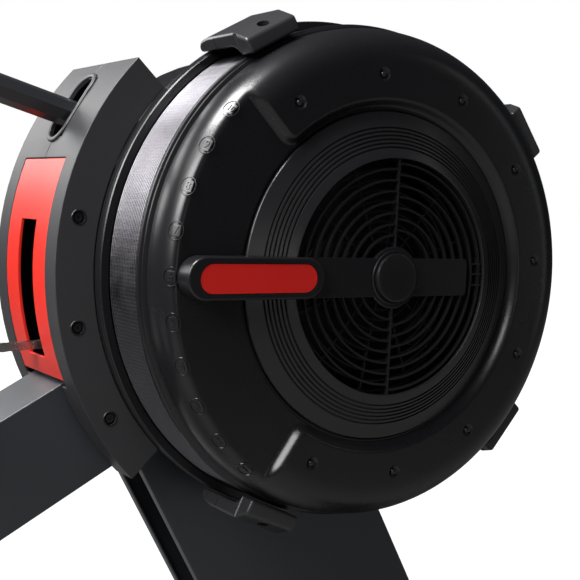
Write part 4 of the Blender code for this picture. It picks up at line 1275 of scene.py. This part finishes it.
strap_nylon = webbing("strap_nylon")
buckle_black = moulded("buckle_plastic", (0.020, 0.020, 0.021), 0.35)
for side, name in ((1, "left"), (-1, "right")):
    node = f"foot_strap_{name}"
    place = foot_matrix(side)
    source = softened(node, 0.0)
    local = [place.inverted() @ vertex.co for vertex in source.data.vertices]
    bpy.data.objects.remove(source)
    middle_x = (min(s.x for s in local) + max(s.x for s in local)) / 2
    base_z = min(s.z for s in local)
    tall = max(s.z for s in local) - base_z
    half = max(abs(s.y) for s in local)
    outline = []
    steps = 40
    for shrink in (0.0008, 0.0030):
        arch = []
        for i in range(steps + 1):
            turn = math.pi * i / steps
            arch.append(
                ((half - shrink) * math.cos(turn), base_z + (tall - shrink) * math.sin(turn) ** 0.8)
            )
        outline += arch if shrink < 0.002 else arch[::-1]
    strap = prism(outline, middle_x - 0.0185, middle_x + 0.0185)
    strap.data.transform(Matrix(((0, 1, 0, 0), (1, 0, 0, 0), (0, 0, 1, 0), (0, 0, 0, 1))))
    strap.data.transform(place)
    only(strap)
    bpy.ops.object.mode_set(mode="EDIT")
    face_outwards()
    install(
        smoothed(rounded(strap, 0.0006, 2), 40),
        f"foot_strap_{name}_web",
        "machine",
        strap_nylon,
        "strap_webbing",
        node,
    )
    frame_high = base_z + tall - 0.0010
    frame = block(
        (middle_x - 0.0225, -0.014, frame_high - 0.0036), (middle_x + 0.0225, 0.014, frame_high + 0.0006)
    )
    cut(
        frame,
        block(
            (middle_x - 0.0190, -0.0105, frame_high - 0.01), (middle_x + 0.0190, -0.0015, frame_high + 0.01)
        ),
    )
    cut(
        frame,
        block(
            (middle_x - 0.0190, 0.0015, frame_high - 0.01), (middle_x + 0.0190, 0.0105, frame_high + 0.01)
        ),
    )
    rounded(frame, 0.0007, 2)
    frame.data.transform(place)
    install(smoothed(frame, 35), f"strap_buckle_{name}", "machine", buckle_black, "black_plastic")


# Seat. A moulded foam pad with a notch for the tailbone stands on a steel carriage that rolls on the
# rail on four plastic rollers.
pad_low, pad_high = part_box("seat_pad")
middle = (pad_low + pad_high) / 2


def seat_cushion():
    half_x = (pad_high.x - pad_low.x) / 2 - 0.004
    half_y = (pad_high.y - pad_low.y) / 2 - 0.004
    outline = []
    for i in range(72):
        turn = math.tau * i / 72
        x = math.copysign(abs(math.cos(turn)) ** 0.62, math.cos(turn)) * half_x
        y = math.copysign(abs(math.sin(turn)) ** 0.62, math.sin(turn)) * half_y
        if x < 0:
            x += 0.052 * math.exp(-((y / 0.042) ** 2)) * min(1.0, -x / half_x * 1.4)
        else:
            x -= 0.020 * math.exp(-((y / 0.050) ** 2)) * min(1.0, x / half_x * 1.4)
        outline.append((x, y))
    start()
    bpy.ops.mesh.primitive_circle_add(vertices=72, radius=1, fill_type="NGON")
    pad = bpy.context.object
    for vertex, (x, y) in zip(pad.data.vertices, outline):
        vertex.co = (middle.x + x, middle.y + y, pad_low.z + 0.004)
    bpy.ops.object.mode_set(mode="EDIT")
    bpy.ops.mesh.select_all(action="SELECT")
    bpy.ops.mesh.extrude_region_move(
        TRANSFORM_OT_translate={"value": (0, 0, pad_high.z - pad_low.z - 0.012)}
    )
    face_outwards()
    rounded(pad, 0.011, 4, 60)
    apply_modifier(pad, "REMESH", mode="VOXEL", voxel_size=0.005)
    # Two hollows for the sit bones are pressed in before the skin is drawn tight.
    for vertex in pad.data.vertices:
        x, y, z = vertex.co
        if z > middle.z:
            hollow = math.exp(-(((x - middle.x) / 0.060) ** 2)) * math.exp(
                -(((abs(y) - 0.062) / 0.040) ** 2)
            )
            vertex.co.z = z - 0.010 * hollow
    return pad


cushion = seat_cushion()
rest = np.array([vertex.co for vertex in cushion.data.vertices])
only(cushion)
cloth = cushion.modifiers.new("Cloth", "CLOTH")
cloth.settings.use_pressure = True
cloth.settings.uniform_pressure_force = 4
cloth.settings.tension_stiffness = 40
cloth.settings.compression_stiffness = 40
cloth.settings.bending_stiffness = 4
cloth.settings.effector_weights.gravity = 0
scene = bpy.context.scene
for number in range(1, 21):
    scene.frame_set(number)
bpy.ops.object.modifier_apply(modifier=cloth.name)
scene.frame_set(1)
now = np.array([vertex.co for vertex in cushion.data.vertices])
travel = now - rest
size = np.linalg.norm(travel, axis=1)
share = np.minimum(1.0, 0.006 / np.maximum(size, 1e-9))
for vertex, spot, moved, part in zip(cushion.data.vertices, rest, travel, share):
    vertex.co = spot + moved * part
apply_modifier(cushion, "SUBSURF", levels=1, render_levels=1)
for vertex in cushion.data.vertices:
    vertex.co = [min(max(value, low), high) for value, low, high in zip(vertex.co, pad_low, pad_high)]
    # A welded seam runs round the pad a little below its top edge.
    x, y, z = vertex.co
    seam = math.exp(-(((z - (pad_low.z + 0.014)) / 0.0022) ** 2))
    vertex.co.x = middle.x + (x - middle.x) * (1 - 0.012 * seam)
    vertex.co.y = middle.y + (y - middle.y) * (1 - 0.010 * seam)


def seat_skin_finish():
    """Soft black polyurethane skin with a leather-like grain and a few scuffs."""
    made, tree, place = new_finish("seat_skin_finish")
    cells = add_node(tree, "TexVoronoi", {"Vector": place, "Scale": 520}, feature="DISTANCE_TO_EDGE")
    wear = add_node(tree, "TexNoise", {"Vector": place, "Scale": 24, "Detail": 6, "Roughness": 0.65})
    bump = add_node(
        tree, "Bump", {"Strength": 0.5, "Distance": 0.0003, "Height": cells.outputs["Distance"]}
    )
    gloss = spread(tree, wear.outputs["Fac"], (0.44, 0.66), (0.3, 0.7))
    shade = spread(tree, wear.outputs["Fac"], (0.012, 0.022), (0.3, 0.7))
    colour = add_node(tree, "CombineColor", {0: shade.outputs[0], 1: shade.outputs[0], 2: shade.outputs[0]})
    onto_shader(tree, colour.outputs[0], gloss.outputs[0], bump.outputs[0])
    return made


install(smoothed(cushion, 60), "seat_cushion", "seat", seat_skin_finish(), "seat_skin", "seat_pad")
refinished("seat_carriage", "seat_carriage_sheet", "seat", dark_steel, "bright_steel", 0.0014, 2)
roller_white = moulded("roller_plastic", (0.42, 0.42, 0.40), 0.42, grain=700)
for place, body in {"front_right": "fr", "front_left": "fl", "rear_right": "rr", "rear_left": "rl"}.items():
    node = f"roller_{place}"
    low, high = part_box(node)
    centre = (low + high) / 2
    half = (high.y - low.y) / 2
    wheel = [
        (0.0090, -half), (0.0185, -half), (0.0200, -half * 0.7), (0.0200, half * 0.7), (0.0185, half),
        (0.0090, half),
    ]
    bearing = [(0.0032, -half * 0.86), (0.0088, -half * 0.86), (0.0088, half * 0.86), (0.0032, half * 0.86)]
    for part, rings, finish in (("tyre", wheel, roller_white), ("bearing", bearing, zinc)):
        turned_part = ring_stack(rings, sides=56)
        laid_across(turned_part, centre)
        extra = (node,) if part == "tyre" else ()
        install(smoothed(turned_part), f"{node}_{part}", f"roller_{body}", finish, "black_plastic", *extra)


# Monitor. A moulded case on a painted steel tube, with a raised bezel round a grey liquid-crystal display
# and three soft keys. The figures are generic.
arm_paint = painted("arm_coat", (0.014, 0.015, 0.017), 0.34)
refinished("monitor_arm", "monitor_arm_tube", "arm", arm_paint, "frame_paint", 0.0, angle=40)
case_black = moulded("monitor_case_plastic", (0.022, 0.022, 0.024), 0.46, grain=1000, depth=0.00006)
refinished("monitor_housing", "monitor_case", "monitor", case_black, "black_plastic", 0.0010, 2)
LEAN_BACK = math.radians(20)
SCREEN_OUT = Vector((-math.cos(LEAN_BACK), 0, math.sin(LEAN_BACK)))
SCREEN_UP = Vector((math.sin(LEAN_BACK), 0, math.cos(LEAN_BACK)))
screen_middle = axle + Vector((-0.640, 0, 0.352)) + SCREEN_OUT * 0.018 + SCREEN_UP * 0.045
screen_place = Matrix((SCREEN_UP.cross(SCREEN_OUT), SCREEN_UP, SCREEN_OUT)).transposed().to_4x4()
screen_place.translation = screen_middle


def on_screen(piece):
    apply_place(piece)
    piece.data.transform(screen_place)
    return piece


bezel = block((-0.0925, -0.0445, 0.0178), (0.0925, 0.0765, 0.0212))
cut(bezel, block((-0.0800, -0.0340, 0.0100), (0.0800, 0.0660, 0.0300)))
rounded(bezel, 0.0016, 3)
install(smoothed(on_screen(bezel), 35), "monitor_bezel", "monitor", case_black, "black_plastic")


def display_finish():
    """Reflective liquid-crystal glass: grey-green, glossy, with faint rows of dots and finger smears."""
    made, tree, place = new_finish("display_glass")
    rows = add_node(tree, "TexWave", {"Vector": place, "Scale": 300}, bands_direction="Z")
    smear = add_node(tree, "TexNoise", {"Vector": place, "Scale": 30, "Detail": 5})
    shade = add_node(tree, "Mix", {0: rows.outputs["Fac"]}, data_type="RGBA")
    shade.inputs[6].default_value = (0.20, 0.24, 0.19, 1)
    shade.inputs[7].default_value = (0.26, 0.30, 0.24, 1)
    gloss = spread(tree, smear.outputs["Fac"], (0.06, 0.24))
    bump = add_node(tree, "Bump", {"Distance": 0.00001, "Height": smear.outputs["Fac"]})
    shader = onto_shader(tree, shade.outputs[2], gloss.outputs[0], bump.outputs[0])
    shader.inputs["Coat Weight"].default_value = 0.6
    return made


glass = block((-0.0805, -0.0345, 0.0170), (0.0805, 0.0665, 0.0192))
install(on_screen(glass), "monitor_display", "monitor", display_finish(), "screen_glass", "monitor_screen")
figures = []
for words, x, y, size in (
    ("2:04", -0.036, 0.040, 0.040),
    ("24", 0.050, 0.044, 0.030),
    ("1500", -0.036, 0.004, 0.028),
    ("m", 0.014, 0.002, 0.014),
    ("6:12", 0.050, 0.004, 0.022),
    ("0:00   0   0:00", 0.000, -0.022, 0.012),
):
    start()
    bpy.ops.object.text_add(location=(0, 0, 0))
    line = bpy.context.object
    line.data.body = words
    line.data.size = size
    line.data.extrude = 0.0001
    line.data.align_x = "CENTER"
    line.data.align_y = "CENTER"
    bpy.ops.object.convert(target="MESH")
    line.location = (x, y, 0.0193)
    apply_place(line)
    figures.append(line)
for y in (0.0230, -0.0120):
    figures.append(block((-0.076, y, 0.0192), (0.076, y + 0.0007, 0.0194)))
figures.append(block((0.0255, -0.0120, 0.0192), (0.0262, 0.0640, 0.0194)))
digit_dark = moulded("display_figures", (0.012, 0.014, 0.012), 0.4)
install(on_screen(joined(figures)), "monitor_figures", "monitor", digit_dark, "screen_glass")
key_grey = moulded("key_rubber", (0.11, 0.11, 0.12), 0.60, grain=900, depth=0.00006)
for name in ("left", "middle", "right"):
    node = f"button_{name}"
    refinished(node, node + "_key", f"{name}_button", key_grey, "red_plastic", 0.0012, 3)

low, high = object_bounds()
